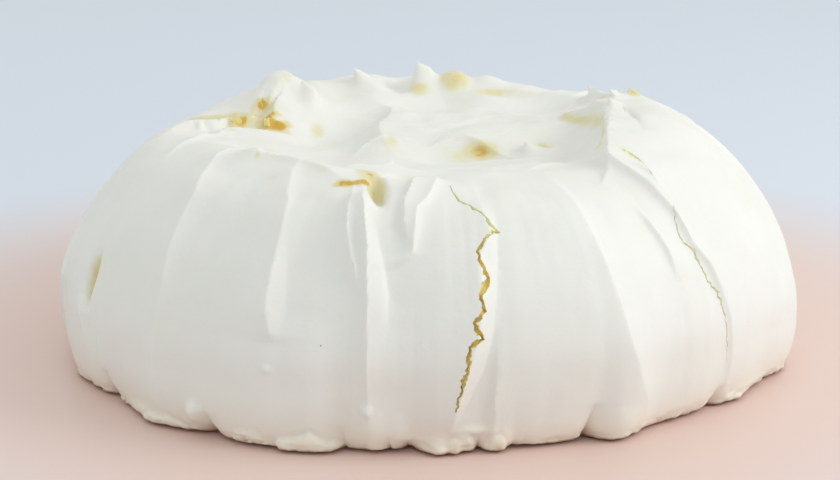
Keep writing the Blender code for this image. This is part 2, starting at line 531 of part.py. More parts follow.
def flake_relief(angle, points):
    """How far the foot's flakes stand out, each a thin ragged lip with pores that is widest at its lower edge."""
    relief = np.zeros_like(angle)
    near = points[:, 2] < 11
    angle, spots = angle[near], points[near]
    ragged = 0.3 * lumps(spots, (4.2, 4.2, 3.4), 41) + 0.12 * lumps(spots, (1.3, 1.3, 1.2), 42)
    pores = np.clip(lumps(spots, (1.3, 1.3, 1.1), 43) - 0.15, 0, 1)
    total, groove = np.zeros(len(spots)), np.zeros(len(spots))
    for flake in FLAKES + chance_flakes():
        across = np.radians((angle - flake["at"][0] + 180) % 360 - 180) * 110 / flake["reach"][0]
        up = (spots[:, 2] - flake["at"][1]) / flake["reach"][1]
        inside = 1 + ragged - across ** 2 - np.maximum(up, 0)
        plate = ease(inside / flake["soft"]) * ease(0.9 - 0.5 * up)
        total = np.maximum(total, plate * (flake["rise"] - 1.3 * flake["porous"] * pores))
        crease = 0.3 * ease(1.6 - 2 * flake["soft"]) * np.exp(-(((inside + 0.1) / 0.16) ** 2))
        groove = np.maximum(groove, crease * ease(0.4 + up) * ease(1.4 - across ** 2))
    relief[near] = total - groove * ease(1 - 2 * total)
    return relief


def chance_flakes():
    """Flakes at chance round the part of the foot that the table leaves out."""
    chance = random.Random(BACK_SEED + 3)
    flakes = []
    at = FLAKES[-1]["at"][0] + 10
    while at < FLAKES[0]["at"][0] + 360 - 8:
        flakes.append({
            "at": (at, chance.uniform(0.4, 2.4)),
            "reach": (chance.uniform(6, 14), chance.uniform(2.2, 4.2)),
            "rise": chance.uniform(0.4, 1.3),
            "porous": chance.choice((0.0, 0.2, 0.5, 1.2)),
            "soft": chance.uniform(0.4, 1.2),
        })
        at += chance.uniform(8, 19)
    return flakes


def notch_depth(angle, height):
    """How far the foot is split in at each point, in pointed clefts."""
    depth = np.zeros_like(angle)
    for middle, half, deep, tall in NOTCHES:
        away = np.abs((angle - middle + 180) % 360 - 180) / half
        depth = np.maximum(depth, deep * np.exp(-away) * np.maximum(1 - height / tall, 0) ** 0.8)
    return depth


def outward(radius, height):
    """The direction in which the surface moves: sideways low on the wall, and straight up on top."""
    side = np.maximum(radius - CREST_RADIUS - 2, 0)
    up = np.maximum(height - 28, 0)
    up = np.where((side == 0) & (up == 0), 1, up)
    length = np.hypot(side, up)
    return side / length, up / length


def sculpt(points):
    """Moves points of the turned blank as the spatula did. Takes and returns an array of x, y, z in millimetres."""
    x, y, z = points.T
    radius = np.hypot(x, y)
    angle = np.degrees(np.arctan2(x, -y))
    inward = ease((CREST_RADIUS + 7 - radius) / 16) * (z > 40)
    rim = np.exp(-(((radius - CREST_RADIUS) / 15) ** 2)) * (z > 40)
    on_top = ease((94 - radius) / 12) * (z > 40)
    relief = (wall_relief(angle, z, radius) + wall_lobes(angle, z)) * (1 - inward)
    relief = relief + on_top * (top_relief(x, y) + top_lumps(x, y)) + rim * round_table(angle, RIM_LIFTS)
    relief = relief + flake_relief(angle, points)
    side, up = outward(radius, z)
    uneven = 1.1 * np.sin(np.radians(2 * angle + 35)) + 0.9 * np.sin(np.radians(3 * angle - 60))
    uneven += round_table(angle, FOOT_REACH) * ease((FOOT_HEIGHT - z) / FOOT_HEIGHT)
    foot = foot_spread(angle, z) - notch_depth(angle, z)
    out = side * relief + (1 - inward) * (uneven + foot)
    grounded = z <= 0.01
    out = np.where(grounded, out * (radius > 0.9 * REST_RADIUS), out)
    moved_radius = np.where(radius > 0, radius + out, 0)
    moved_z = np.where(grounded, 0, np.maximum(z + up * relief, 0.3))
    scale = np.where(radius > 0, moved_radius / np.maximum(radius, 1e-9), 1)
    return pull_up(np.stack([x * scale, y * scale, moved_z], axis=1))


def link(obj, collection):
    """Puts the object in this collection alone."""
    for old in list(obj.users_collection):
        old.objects.unlink(obj)
    collection.objects.link(obj)
    return obj


def evaluated_mesh(obj):
    """A mesh of the object with its modifiers applied."""
    graph = bpy.context.evaluated_depsgraph_get()
    graph.update()
    return bpy.data.meshes.new_from_object(obj.evaluated_get(graph))


def turned_blank(collection):
    """The plain dome: its half outline spun about the upright axis and closed underneath."""
    rows = curve_through(OUTLINE, ROW_STEP)
    rows = rows[(rows[:, 0] == 0) | (rows[:, 0] > FIRST_RING)]
    rows = np.vstack([rows, (0.9 * REST_RADIUS, 0.0), (0.0, 0.0)])
    profile = bmesh.new()
    corners = [profile.verts.new((r * MM, 0, z * MM)) for r, z in rows]
    for upper, lower in zip(corners, corners[1:]):
        profile.edges.new((upper, lower))
    mesh = bpy.data.meshes.new("meringue")
    profile.to_mesh(mesh)
    profile.free()
    blank = link(bpy.data.objects.new("meringue", mesh), collection)
    spin = blank.modifiers.new("turn", "SCREW")
    spin.steps = spin.render_steps = COLUMNS
    spin.use_merge_vertices = True
    spin.merge_threshold = 0.00002
    blank.data = evaluated_mesh(blank)
    blank.modifiers.clear()
    return blank


def shape_dome(collection):
    """The turned blank after the spatula, with its triangles spent where the surface bends."""
    dome = turned_blank(collection)
    points = np.empty(len(dome.data.vertices) * 3)
    dome.data.vertices.foreach_get("co", points)
    moved = sculpt(points.reshape(-1, 3) / MM) * MM
    dome.data.vertices.foreach_set("co", moved.ravel())
    dome.data.update()
    thin = dome.modifiers.new("thin_out", "DECIMATE")
    thin.ratio = BODY_TRIANGLES / sum(len(face.vertices) - 2 for face in dome.data.polygons)
    dome.data = evaluated_mesh(dome)
    dome.modifiers.clear()
    return dome


def on_wall(height, angle):
    """The point of the finished wall at this height and angle, and the direction straight out of it."""
    outline = np.array([row for row in OUTLINE if row[0] >= CREST_RADIUS], float)
    radius = float(np.interp(height, outline[::-1, 1], outline[::-1, 0]))
    turn = math.radians(angle)
    point = sculpt(np.array([[radius * math.sin(turn), -radius * math.cos(turn), height]]))[0]
    side, up = outward(np.array([radius]), np.array([float(height)]))
    return point, np.array([side[0] * math.sin(turn), -side[0] * math.cos(turn), up[0]])


def jagged(line, seed):
    """The line with a further corner in each of its legs, off to one side by chance."""
    chance = random.Random(seed)
    made = [np.array(line[0], float)]
    for start, stop in zip(line, line[1:]):
        start, stop = np.array(start, float), np.array(stop, float)
        if abs(stop[0] - start[0]) > 2 * JAG:
            across = chance.choice((-1, 1)) * chance.uniform(0.4, 0.9)
            middle = start + (stop - start) * chance.uniform(0.35, 0.65)
            made.append(middle + np.array([0.0, across]))
        made.append(stop)
    return made


def crack_cutter(name, points, outs, width, depth, collection):
    """A jagged wedge that follows the points, widest at the surface and closing to nothing at its depth and ends."""
    shape = bmesh.new()
    rings = []
    last = len(points) - 1
    for number, (point, out) in enumerate(zip(points, outs)):
        before, after = points[max(0, number - 1)], points[min(last, number + 1)]
        across = np.cross(after - before, out)
        across /= np.linalg.norm(across)
        share = number / last
        wide = width * (0.25 + 0.75 * math.sin(math.pi * share) ** 0.6) / 2
        deep = depth * (0.35 + 0.65 * math.sin(math.pi * share) ** 0.5)
        ring = [
            point + out * 6 - across * wide * 1.3,
            point + out * 6 + across * wide * 1.3,
            point - out * deep + across * wide * 0.15,
            point - out * deep - across * wide * 0.15,
        ]
        rings.append([shape.verts.new(corner * MM) for corner in ring])
    for upper, lower in zip(rings, rings[1:]):
        for side in range(4):
            after = (side + 1) % 4
            shape.faces.new((upper[side], lower[side], lower[after], upper[after]))
    shape.faces.new(rings[0])
    shape.faces.new(reversed(rings[-1]))
    bmesh.ops.recalc_face_normals(shape, faces=shape.faces)
    bmesh.ops.triangulate(shape, faces=shape.faces)
    mesh = bpy.data.meshes.new(name)
    shape.to_mesh(mesh)
    shape.free()
    cutter = link(bpy.data.objects.new(name, mesh), collection)
    cutter.hide_render = True
    cutter.display_type = "WIRE"
    return cutter


def crack_cutters(collection):
    """Every crack of the wall and tear of the top as a cutter of its own."""
    for number, crack in enumerate(WALL_CRACKS):
        places = [on_wall(height, angle) for height, angle in jagged(crack["line"], number)]
        points = [place[0] for place in places]
        outs = [place[1] for place in places]
        crack_cutter(f"crack_{number}", points, outs, crack["width"], crack["depth"], collection)
    for number, tear in enumerate(TOP_TEARS):
        points = [np.array(point, float) for point in tear["line"]]
        outs = [np.array([0.0, 0.0, 1.0])] * len(points)
        crack_cutter(f"tear_{number}", points, outs, tear["width"], tear["depth"], collection)


def cut_cracks(dome, cutters):
    """The dome with its cracks and tears cut in."""
    boolean = dome.modifiers.new("cracks", "BOOLEAN")
    boolean.operation = "DIFFERENCE"
    boolean.operand_type = "COLLECTION"
    boolean.collection = cutters
    boolean.solver = "EXACT"
    dome.data = evaluated_mesh(dome)
    dome.modifiers.clear()
    for cutter in list(cutters.objects):
        bpy.data.objects.remove(cutter)


def settle(obj):
    """Makes the underside truly flat, and slides the solid so that its bounding box is centred over the origin."""
    points = np.empty(len(obj.data.vertices) * 3)
    obj.data.vertices.foreach_get("co", points)
    points = points.reshape(-1, 3)
    middle = (points.min(axis=0) + points.max(axis=0)) / 2
    points -= np.array([middle[0], middle[1], 0.0])
    points[points[:, 2] < FLAT_WITHIN * MM, 2] = 0
    obj.data.vertices.foreach_set("co", points.ravel())
    obj.data.update()


def paint(obj):
    """The meringue's own plain off-white, on every face."""
    material = bpy.data.materials.new("meringue")
    material.use_nodes = True
    surface = material.node_tree.nodes["Principled BSDF"]
    surface.inputs["Base Color"].default_value = MERINGUE_COLOUR
    surface.inputs["Roughness"].default_value = 0.55
    surface.inputs["Metallic"].default_value = 0.0
    obj.data.materials.clear()
    obj.data.materials.append(material)


def main():
    for obj in list(bpy.data.objects):
        bpy.data.objects.remove(obj)
    scene = bpy.context.scene.collection
    pavlova = bpy.data.collections.new("pavlova")
    cutters = bpy.data.collections.new("cutters")
    for collection in (pavlova, cutters):
        scene.children.link(collection)
    dome = shape_dome(pavlova)
    crack_cutters(cutters)
    cut_cracks(dome, cutters)
    settle(dome)
    dome.data.shade_smooth()
    dome.data.set_sharp_from_angle(angle=math.radians(50))
    paint(dome)


main()
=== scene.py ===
"""A plain baked pavlova on a pale floor: one thick round of meringue, ridged by the spatula and hollowed on top.

The round is spun from its half outline in fine rows and columns, then its points are moved as the spatula moved the
meringue, and its cracks are cut with cutters that leave a golden, crumbly wall. Sizes in the tables are millimetres
and degrees, and MM turns them into metres. The angle round the dome is 0 at the front (-Y) and grows to the right.
"""

import itertools
import math
import random

import bpy
import numpy as np
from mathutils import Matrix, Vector
from mathutils.kdtree import KDTree


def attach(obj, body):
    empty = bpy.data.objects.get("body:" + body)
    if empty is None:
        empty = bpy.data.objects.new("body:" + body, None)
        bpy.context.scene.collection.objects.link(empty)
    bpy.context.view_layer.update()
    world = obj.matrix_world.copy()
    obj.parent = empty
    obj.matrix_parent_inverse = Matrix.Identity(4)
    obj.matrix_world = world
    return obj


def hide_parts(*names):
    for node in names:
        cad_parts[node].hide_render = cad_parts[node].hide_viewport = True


bl_info = {
    "name": "Baked Pavlova",
    "version": (1, 0, 0),
    "blender": (4, 5, 0),
    "location": "View3D > Sidebar > Pavlova",
    "description": "Models a spatula-ridged meringue round with its cracks, torn spots and ragged foot",
    "category": "Add Mesh",
}

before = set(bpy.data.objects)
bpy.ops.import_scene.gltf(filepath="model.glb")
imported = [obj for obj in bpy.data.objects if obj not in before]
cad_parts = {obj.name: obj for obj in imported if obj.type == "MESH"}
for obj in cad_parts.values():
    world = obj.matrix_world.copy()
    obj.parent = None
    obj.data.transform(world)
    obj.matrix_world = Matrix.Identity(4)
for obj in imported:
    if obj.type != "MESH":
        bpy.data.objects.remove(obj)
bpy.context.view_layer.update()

MM = 0.001


def named(names, rows):
    """Each row of a table as a dictionary of its named values."""
    return [dict(zip(names, row)) for row in rows]


# How finely the round is spun, how many triangles are left once it is sculpted, and how it is shaded.
COLUMNS = 1500
ROW_STEP = 0.5
FIRST_RING = 8.0
FINE_TRIANGLES = 190000
SMOOTH_BELOW = math.radians(50)

# The half outline as (radius, height), from the middle of the well over the rim to the edge of the underside.
OUTLINE = [
    (0, 61), (28, 61.3), (44, 63), (58, 67), (70, 69), (80, 67), (89.5, 62), (99.5, 51.5), (107.5, 40), (113, 28),
    (114.5, 17), (114.2, 10), (113, 5), (111.4, 2.4), (109.8, 1), (107.4, 0.3), (100, 0),
]
CREST_RADIUS = 70.0
WIDEST_RADIUS = 114.5
REST_RADIUS = 100.0
FOOT_RING = 0.9 * REST_RADIUS

# The height above which and the radius inside which the top is shaped, and how far the rim's lifts reach.
TOP_FROM, TOP_EDGE, RIM_REACH = 40, 94, 15

# The radii at which angles on the wall and at the foot's flakes count as lengths.
WALL_ARC, FLAKE_ARC = 108, 110

# How the round strays from a circle: (by how much, how many times round, the turn in degrees).
STRAYS = [(1.1, 2, 35), (0.9, 3, -60)]

# The rim isn't level: how far each part of it stands above or below the outline's crest, by angle.
RIM_LIFTS = [
    (-180, -0.2), (-162, 0.8), (-151, 0), (-138, 2.6), (-126, 0.4), (-113, -8), (-98, -6.4), (-84, -3.6), (-65, -1),
    (-45, 0.5), (-23, 0), (-5, -1.5), (20, -2.5), (38, -1), (58, 0), (80, 1.4), (100, 2.4), (118, 1.4), (145, -2.6),
    (165, -0.6),
]

# How far the wall's foot stands outside or inside the outline's, by angle, fading out by FOOT_HEIGHT.
FOOT_REACH = [
    (-180, 0), (-120, 0), (-95, -0.5), (-80, -0.5), (-66, 0.8), (-56, -2.3), (-40, 0.2), (-26, -0.3), (-18, -2.3),
    (-11, -6.8), (-3, -7.8), (1, -6.8), (12, -8.8), (24, -7.8), (29, -5.4), (37, -8), (49, -6.6), (60, -4),
    (70, -0.8), (85, -0.8), (125, 0),
]
FOOT_HEIGHT = 58.0

# Ridges up the wall. The line is (height, angle) and the rise (height, rise), each from the base up. A ridge falls
# away over its left run to the left and over its right run to the right, so a short run makes a crisp edge.
FRONT_RIDGES = named(("line", "rise", "left", "right"), [
    ([(0, -97), (40, -99), (68, -104)], [(0, 0.6), (40, 0.9), (68, 0.7)], 12, 8),
    ([(0, -82), (12, -82), (26, -80), (40, -84), (66, -92)], [(0, 0.4), (14, 1.4), (30, 1.8), (66, 0.4)], 5, 1.6),
    ([(0, -60), (14, -60.5), (26, -62.6), (34, -64.2), (46, -65.6), (60, -69)],
     [(0, 0.3), (12, 0.6), (24, 1.8), (36, 2), (52, 0.8), (66, 0.2)], 8, 1.4),
    ([(25, -61.4), (29, -62.6), (33, -62.9), (37, -63.2), (42, -63.7)],
     [(25, 0), (28.5, -3.4), (33, -4.4), (37, -2.6), (42, 0)], 2, 1.3),
    ([(9, -74), (19, -76.2), (27, -77)], [(8, 0), (13, -2.4), (22, -2.8), (27, 0)], 0.9, 1.1),
    ([(0, -57), (14, -57), (40, -59)], [(0, 1.2), (12, 1.2), (40, 0)], 6, 3),
    ([(0, -41.5), (39.5, -42.9), (49, -44.7), (61, -46.2), (65, -48.5), (68, -51)],
     [(0, 0.6), (30, 1.4), (50, 2.4), (68, 2.4)], 16, 3.4),
    ([(30, -22.2), (40, -23.8), (51, -24.3), (57, -24.9), (63, -26), (67, -29), (71, -34)],
     [(31, 0), (33.5, 1.5), (38, 2.9), (50, 2.9), (60, 2.3), (70, 1.4)], 12, 3),
    ([(33, -21.6), (39, -21.2), (50.6, -22.6), (58, -24)], [(33, 0), (38, -0.9), (50, -0.9), (58, 0)], 2, 9),
    ([(44, -10.6), (50, -11.4), (53, -12.4), (58, -13.6), (65, -14.6), (69, -16)],
     [(44, 0), (48, 1.6), (58, 2.4), (63, 1.6), (68, 0.4)], 2.6, 1.3),
    ([(0, -8.5), (31, -8.7), (43, -9), (54, -9.7), (62, -11.2), (68, -13.5)],
     [(0, 0.6), (12, 1.8), (38, 2.4), (48, 3.4), (58, 4.2), (63, 3), (67, 0.6)], 2.4, 4.2),
    ([(32, -6), (44, -6), (51, -7), (58, -8.6)], [(32, 0), (42, -1.2), (54, -1.3), (60, 0)], 1.3, 7),
    ([(56, -3.6), (60, -4.4), (65, -4.6), (70, -3.1)], [(55, 0), (60, 1.7), (70, 1.9)], 0.8, 5),
    ([(50.4, -6.4), (52.4, -4.2), (54, -2.7), (59, -2.4), (63, -2.2), (67, 0.5), (69.5, 2)],
     [(50, 0), (52.5, 1.3), (60, 2.1), (69, 1.6)], 4, 1.2),
    ([(8, 3), (16, 3.9), (26, 5.2), (34, 6.6), (44, 7.5), (53, 7.6), (58, 9.8), (63, 9)],
     [(6, 0), (12, 1.7), (30, 3), (50, 2.6), (60, 1.6), (66, 0.4)], 9, 2.6),
    ([(8, 3.2), (15.7, 5.4), (24, 7.4), (35.7, 9), (47, 10), (59, 11), (66, 11.4)],
     [(6, 0), (14, -1.2), (35, -1.3), (58, -0.9), (67, 0)], 1.2, 7),
    ([(0, 8.9), (18, 9.1), (34, 9.6)], [(0, 1.5), (18, 1.3), (38, 0)], 0.9, 9),
    ([(0, 33), (12, 32.3), (20, 30.3), (30, 28.6), (40, 27.6), (58, 26.1), (64.5, 25.9)],
     [(0, 0.6), (12, 1.2), (30, 2.6), (50, 3.2), (64, 2.2), (69, 1)], 17, 5),
    ([(42, 39.8), (50, 39.6), (55, 38.8), (61, 37.8)], [(42, 0), (48, 1.2), (57, 1.2), (62, 0)], 0.8, 6),
    ([(0, 50.4), (16, 50.2), (28, 49.3), (36, 48.2), (44, 46.9), (50, 44.6), (57, 44.6), (64, 43), (69, 41)],
     [(0, 0.6), (30, 1.2), (46, 1.8), (57, 2.2), (68, 2.6)], 1.2, 17),
    ([(20, 62), (40, 60), (52, 58), (64, 57)], [(16, 0), (42, 1.5), (60, 1.4), (67, 0)], 10, 9),
    ([(0, 72), (30, 73), (66, 78)], [(0, 1.6), (30, 1.8), (50, 3.8), (60, 3), (68, 1.2)], 8, 12),
])

# Small lobes on the wall: (angle, height), the reach across and up, and the rise.
WALL_LOBES = named(("at", "reach", "rise"), [
    ((-34.8, 8), (2.2, 3.2), 2.6), ((-23, 24), (1.2, 1), 0.6), ((-9, 14), (1.6, 1.6), 1.3), ((-8.4, 5), (6, 8), 1.8),
    ((-4.4, 5), (3, 6), 1.2), ((-12.6, 62), (4.2, 3.4), 1.8), ((-45, 2.6), (9, 2.2), 1.3),
    ((-16.5, 3), (9, 2.6), 0.5), ((0.6, 3), (8, 2.4), 0.5), ((6, 7.4), (5, 1.4), 0.9), ((10.4, 3), (3, 4), 0.8),
    ((28, 5), (5, 6), 1), ((57, 3), (9, 3), 0.4),
])

# The back, which has the same strokes at chance places, and the angles that it runs between.
BACK_FROM, BACK_TO = 90, 250
BACK_STROKE = (12, 19)

# The seeds of what is at chance places.
BACK_SEED, SKIRT_SEED, CRACK_SEED, FLAKE_SEED = 7, 8, 9, 10

# Ridges on top, as (x, y) seen from above, each from nothing to nothing. Left and right are as one looks along it.
# The last value of some is how far the ridge's edge frays.
TOP_RIDGES = named(("line", "rise", "left", "right", "ragged"), [
    ([(45, -70), (48.5, -60), (52, -34), (54, -8), (54.5, 8), (50, 24)], [2.8, 4.6, 5.2, 4.6], 1.4, 12, 0.5),
    ([(47, -66), (49, -58), (53, -30), (56, -6), (59, 12), (60, 36)], [1.6, 3.2, 3, 2.4], 12, 15),
    ([(-9, -14), (-14, -1), (-16, 18), (-14, 28), (-12, 42), (-19, 50), (-28, 54)],
     [2.4, 3.8, 4.4, 3.6, 2], 5, 21),
    ([(-68, -47), (-61, -51), (-48, -53), (-34, -62), (-22, -74)], [2.2, 2.4, 2], 5, 2.2),
    ([(-80, -36), (-73, -21), (-67, -6), (-61, 6)], [1.4, 2], 6, 1.4),
    ([(-84, 8), (-77, 13), (-70, 16), (-64, 18.5), (-58, 20.5), (-53, 21), (-46, 23)],
     [3, 4, 5, 5.4, 4.2], 6, 0.8, 1.1),
    ([(-72, 5), (-64, 10.5), (-57, 13.5), (-50, 15), (-43, 18)], [2, 2.6, 2.2], 1.2, 8, 0.5),
    ([(-53, 15), (-51.6, 23), (-50, 31), (-47, 40)], [2.4, 3], 1.4, 8, 0.7),
    ([(-58, 20), (-57.5, 26), (-56.5, 33), (-54, 40)], [2, 1.6], 8, 1, 0.7),
    ([(-70, 2), (-64, 5), (-60, 4), (-57, 0)], [1.8, 1.4], 1, 4),
    ([(-54, 30), (-49, 39), (-42, 43), (-38, 36)], [2.4, 2.8], 6, 1.4),
    ([(6, 54), (18, 57.5), (30, 57.5), (42, 53), (50, 46)], [2.4, 2.4, 1.6], 5, 6),
    ([(0, 24), (22, 34), (44, 26)], [2.2], 8, 2),
    ([(34, 20), (44, 22), (52, 16), (57, 6)], [1.8, 2.2], 6, 1),
    ([(2, 2), (12, 2.6), (20, -3), (28, -9)], [1.7, 1.9], 10, 0.9),
    ([(60, 10), (62.5, -10), (64, -28)], [-1.2], 0.8, 3),
    ([(44, 30), (49, 33), (55, 30), (59, 22), (60, 12)], [2, 2.4, 2.2], 3, 0.8, 0.6),
    ([(52, 24), (54, 31), (58, 36)], [1.8], 0.8, 3),
    ([(52, -57), (58, -58.5), (64, -64), (69, -71)], [0.9, 0.8], 3, 0.8),
    ([(-24, -10), (-19, -2), (-12, 1), (-6, -3)], [1.6, 1.8], 5, 1.4),
    ([(-30, -56), (-20, -50), (-8, -49), (2, -53)], [1.2, 1.4], 4, 1.6),
    ([(24, -60), (31, -52), (40, -48), (47, -50)], [1, 1.2], 5, 1.6),
    ([(-6, -60), (18, -64), (44, -60)], [1.2], 7, 6),
])

# Scoops and mounds on top: (x, y), the reach along and across, which way along points, and the depth, where a
# mound's is below zero.
SCOOPS = named(("at", "reach", "turn", "depth"), [
    ((-38, -12), (30, 17), 100, 2.6), ((14, -9), (18, 8), 4, 3.2), ((42, -22), (26, 9), 85, 3.4),
    ((0, 50), (16, 9), 10, 2.6), ((32, 44), (14, 8), -30, 2.2), ((-30, 24), (16, 11), 60, 2.8),
    ((20, 12), (24, 12), 20, -2.6), ((-49.5, 44), (7.4, 7), 40, -5.4), ((-40, 41), (4, 4), 0, -2),
    ((9, 65), (5.2, 6), 0, -3.8), ((20.5, 64.5), (5, 3.4), -8, -1.9), ((23, 57), (8, 3), -8, 1.6),
    ((-3.5, 34), (4, 4), 0, 0.9), ((8, -40), (34, 12), 0, -1.6), ((-14.6, -77.5), (8, 2.4), 97, 4.2),
    ((-7, -62), (6, 4), 10, 1.6), ((-31, -55), (6, 3), 20, 1.5), ((36, 2.5), (4, 3), 0, 1.3),
    ((-58, -18), (9, 5), 60, 1.4), ((-2, 16), (7, 5), 30, -1.2), ((-11, 66), (5.8, 8), 0, 4.4),
    ((-15, -4), (6, 4), 20, -1.6), ((-24, 6), (9, 6), 70, 1.8), ((28, -30), (8, 5), -30, -1),
])

# Peaks that the spatula pulled up: (x, y) of the foot, the foot's radius, how far the tip leans and stands up.
PULLS = named(("at", "radius", "lean", "tall"), [
    ((-1.6, 66), 2.8, (-1.5, 0.2), 4.2), ((1, 65.6), 2.4, (0.3, 0), 2.2), ((-2.6, 65), 5.4, (-0.6, 0), 2.6),
    ((-22.4, 61), 2.6, (-3, 0.6), 4.6), ((-17, 60), 4.4, (-2, 0), 1.8), ((-38.6, 40), 3.2, (1.2, -0.6), 2.2),
    ((31, -5), 2.4, (-0.9, 0.5), 3.4), ((-50, -50), 3.4, (1, -1), 1.6), ((66, 22), 2.8, (-0.8, 1), 2.6),
    ((55, 31), 2.6, (-3.4, 0.4), 1.8), ((60, 16), 2.6, (-2.4, -0.6), 1.4), ((58, 4), 2, (-1.8, 0.4), 1.6),
    ((-12, -46), 2.4, (1.2, 1.2), 1.8), ((-64, 0), 2.4, (-0.6, -1.2), 1.6),
])

# Thin skirts where the foot spread on its paper: (angle, half width in degrees, how far it spreads, height). What
# the table leaves out gets skirts at chance.
FOOT_FLAKES = [
    (-72, 7, 1.6, 3.5), (-61, 3, 1, 3), (-49, 6, 1.8, 3), (-38, 3, 0.8, 3), (-29, 4, 0.6, 3), (-17, 6, 2.2, 3.4),
    (-6, 3, 0.4, 2.4), (2.6, 4.2, 2.4, 4), (9.5, 2.4, 1.6, 3.6), (18, 6, 0.2, 2.4), (30, 4, 0.7, 3.4),
    (42, 4, 0.2, 2.4), (58, 6, 0.8, 3.2), (73, 3, 1.8, 4),
]

# Thin flakes that lift from the foot of the wall: (angle, height), the reach across and up, the rise, how porous,
# and how soft the upper edge is, where the soft ones grow out of the wall like a lip.
FLAKES = named(("at", "reach", "rise", "porous", "soft"), [
    ((-68, 0.6), (12, 3.4), 1, 0.3, 1.2), ((-54, 0.8), (5, 2.6), 0.9, 0.8, 0.8), ((-41, 1.8), (9, 3), 1.2, 0, 0.4),
    ((-26.5, 2), (6.5, 4.4), 0.9, 1.7, 0.6), ((-17.6, 2.4), (9.4, 3.8), 1.5, 0, 0.35),
    ((-8, 0.4), (9, 3.4), 0.8, 0.3, 1.2), ((1.4, 0.8), (9, 4.8), 1.3, 0.2, 1), ((4.4, 2.8), (5, 3.8), 0.8, 0.4, 0.4),
    ((9.6, 2.2), (4, 3.6), 0.7, 0.8, 0.5), ((18, 0.4), (9, 2.4), 0.4, 0.4, 0.9), ((28, 0.6), (7, 4), 0.9, 0.3, 1.2),
    ((39, 0.4), (16, 2), 0.5, 0.5, 0.8), ((53.6, 0.8), (7, 3.6), 1.1, 0.6, 0.7),
    ((67, 0.6), (14, 2.8), 0.7, 0.6, 0.9),
])

# Notches where the foot split, as (angle, half width in degrees, depth, height).
NOTCHES = [
    (-76, 1, 2, 6), (-56.5, 0.8, 3.8, 10), (-33.2, 1.2, 4.8, 9), (-12.8, 0.5, 2.2, 9), (-6, 0.5, 1.8, 6),
    (-3.4, 1.4, 3.6, 5), (7.2, 0.6, 2, 7), (12.5, 0.6, 1.4, 4), (24.2, 0.9, 5, 13), (49.4, 0.9, 3.8, 8),
    (66, 0.8, 2, 5), (112, 1.2, 3.8, 10), (136, 0.9, 2.4, 6), (158, 1.1, 3.4, 7), (-160, 1.2, 4, 9),
    (-139, 0.8, 2.2, 6), (-118, 1.1, 3.4, 7), (-96, 0.8, 2.4, 6),
]

# Cracks up the wall, as (height, angle) from the top down, with the width at the middle and the depth.
WALL_CRACKS = named(("line", "width", "depth"), [
    ([(68, 4.3), (65.5, 5.4), (62.3, 8.8), (58.4, 10.9), (56.3, 8.5), (53.7, 7.2), (47.3, 8.5), (44, 7.2),
     (40.6, 7.6), (37.8, 6), (33.9, 7.2), (32.1, 5.4), (25.6, 5), (21.6, 4.2), (14.2, 3.6)], 3, 1.2),
    ([(58, 44.6), (53.4, 43.4), (50.4, 43.4), (46.9, 44.9), (40, 46), (36.2, 47.3), (27.7, 48.4), (21.9, 48.9),
     (15.5, 49.4)], 1.5, 0.7),
    ([(64, 168), (58, 165), (52, 168), (45, 166), (36, 167), (28, 164), (20, 165)], 1.9, 1.6),
    ([(58, -126), (50, -129), (44, -130), (36, -128), (27, -130), (19, -129)], 1.6, 1.4),
    ([(52, 118), (45, 120), (38, 119), (31, 121)], 1.2, 1.2),
    ([(26, -158), (20, -157), (13, -158)], 1.3, 1.2),
])

# How far a cutter stands above the surface, and its widths up there and at its tip, as shares.
CUTTER_TALL, CUTTER_TOP, CUTTER_TIP = 3, 1.4, 0.2

# Tears on top, as (x, y, height) along the torn line, with the width and the depth.
TOP_TEARS = named(("line", "width", "depth"), [
    ([(-66, 17.4, 68), (-62, 19, 67.8), (-57, 19.4, 67.6), (-51, 20, 66.8), (-46, 21.4, 66)], 2.8, 3),
    ([(-55.4, 20, 67.6), (-54.8, 25, 67.6), (-54, 30, 68.4), (-54.6, 35, 70)], 3.4, 2.2),
    ([(-64.5, 4.5, 67), (-62.5, 6.5, 66.5), (-61.6, 9, 66.5)], 1.6, 2),
    ([(-25.4, -73.6, 68.6), (-21.5, -74, 68.6), (-17.6, -73.2, 68.4)], 1.6, 1.4),
    ([(-18.4, -72.5, 70), (-17.6, -76, 69.5), (-16.4, -80, 69)], 1.3, 2.4),
    ([(54.9, -52.2, 72.9), (57.6, -54.9, 71.8), (60.4, -58.4, 70.3)], 2.2, 1.5),
    ([(60.2, -58.4, 70.4), (62.9, -64.1, 67.5), (66.1, -66.9, 63.5)], 0.7, 0.5),
    ([(60.4, 2, 74), (61.4, -8, 74.6), (62, -17, 74.8)], 1.2, 1.2),
])


def ease(x):
    """0 below 0, 1 above 1, and a smooth climb between."""
    x = np.clip(x, 0.0, 1.0)
    return x * x * (3.0 - 2.0 * x)


def curve_through(points, step):
    """Points about one step apart along a smooth curve through the given ones."""
    points = np.array(points, float)
    ends = np.vstack([2 * points[0] - points[1], points, 2 * points[-1] - points[-2]])
    made = []
    for before, start, stop, after in zip(ends, ends[1:], ends[2:], ends[3:]):
        count = max(1, round(float(np.linalg.norm(stop - start)) / step))
        for t in np.arange(count) / count:
            made.append(0.5 * (2 * start + (stop - before) * t
                               + (2 * before - 5 * start + 4 * stop - after) * t ** 2
                               + (3 * start - before - 3 * stop + after) * t ** 3))
    made.append(points[-1])
    return np.array(made)


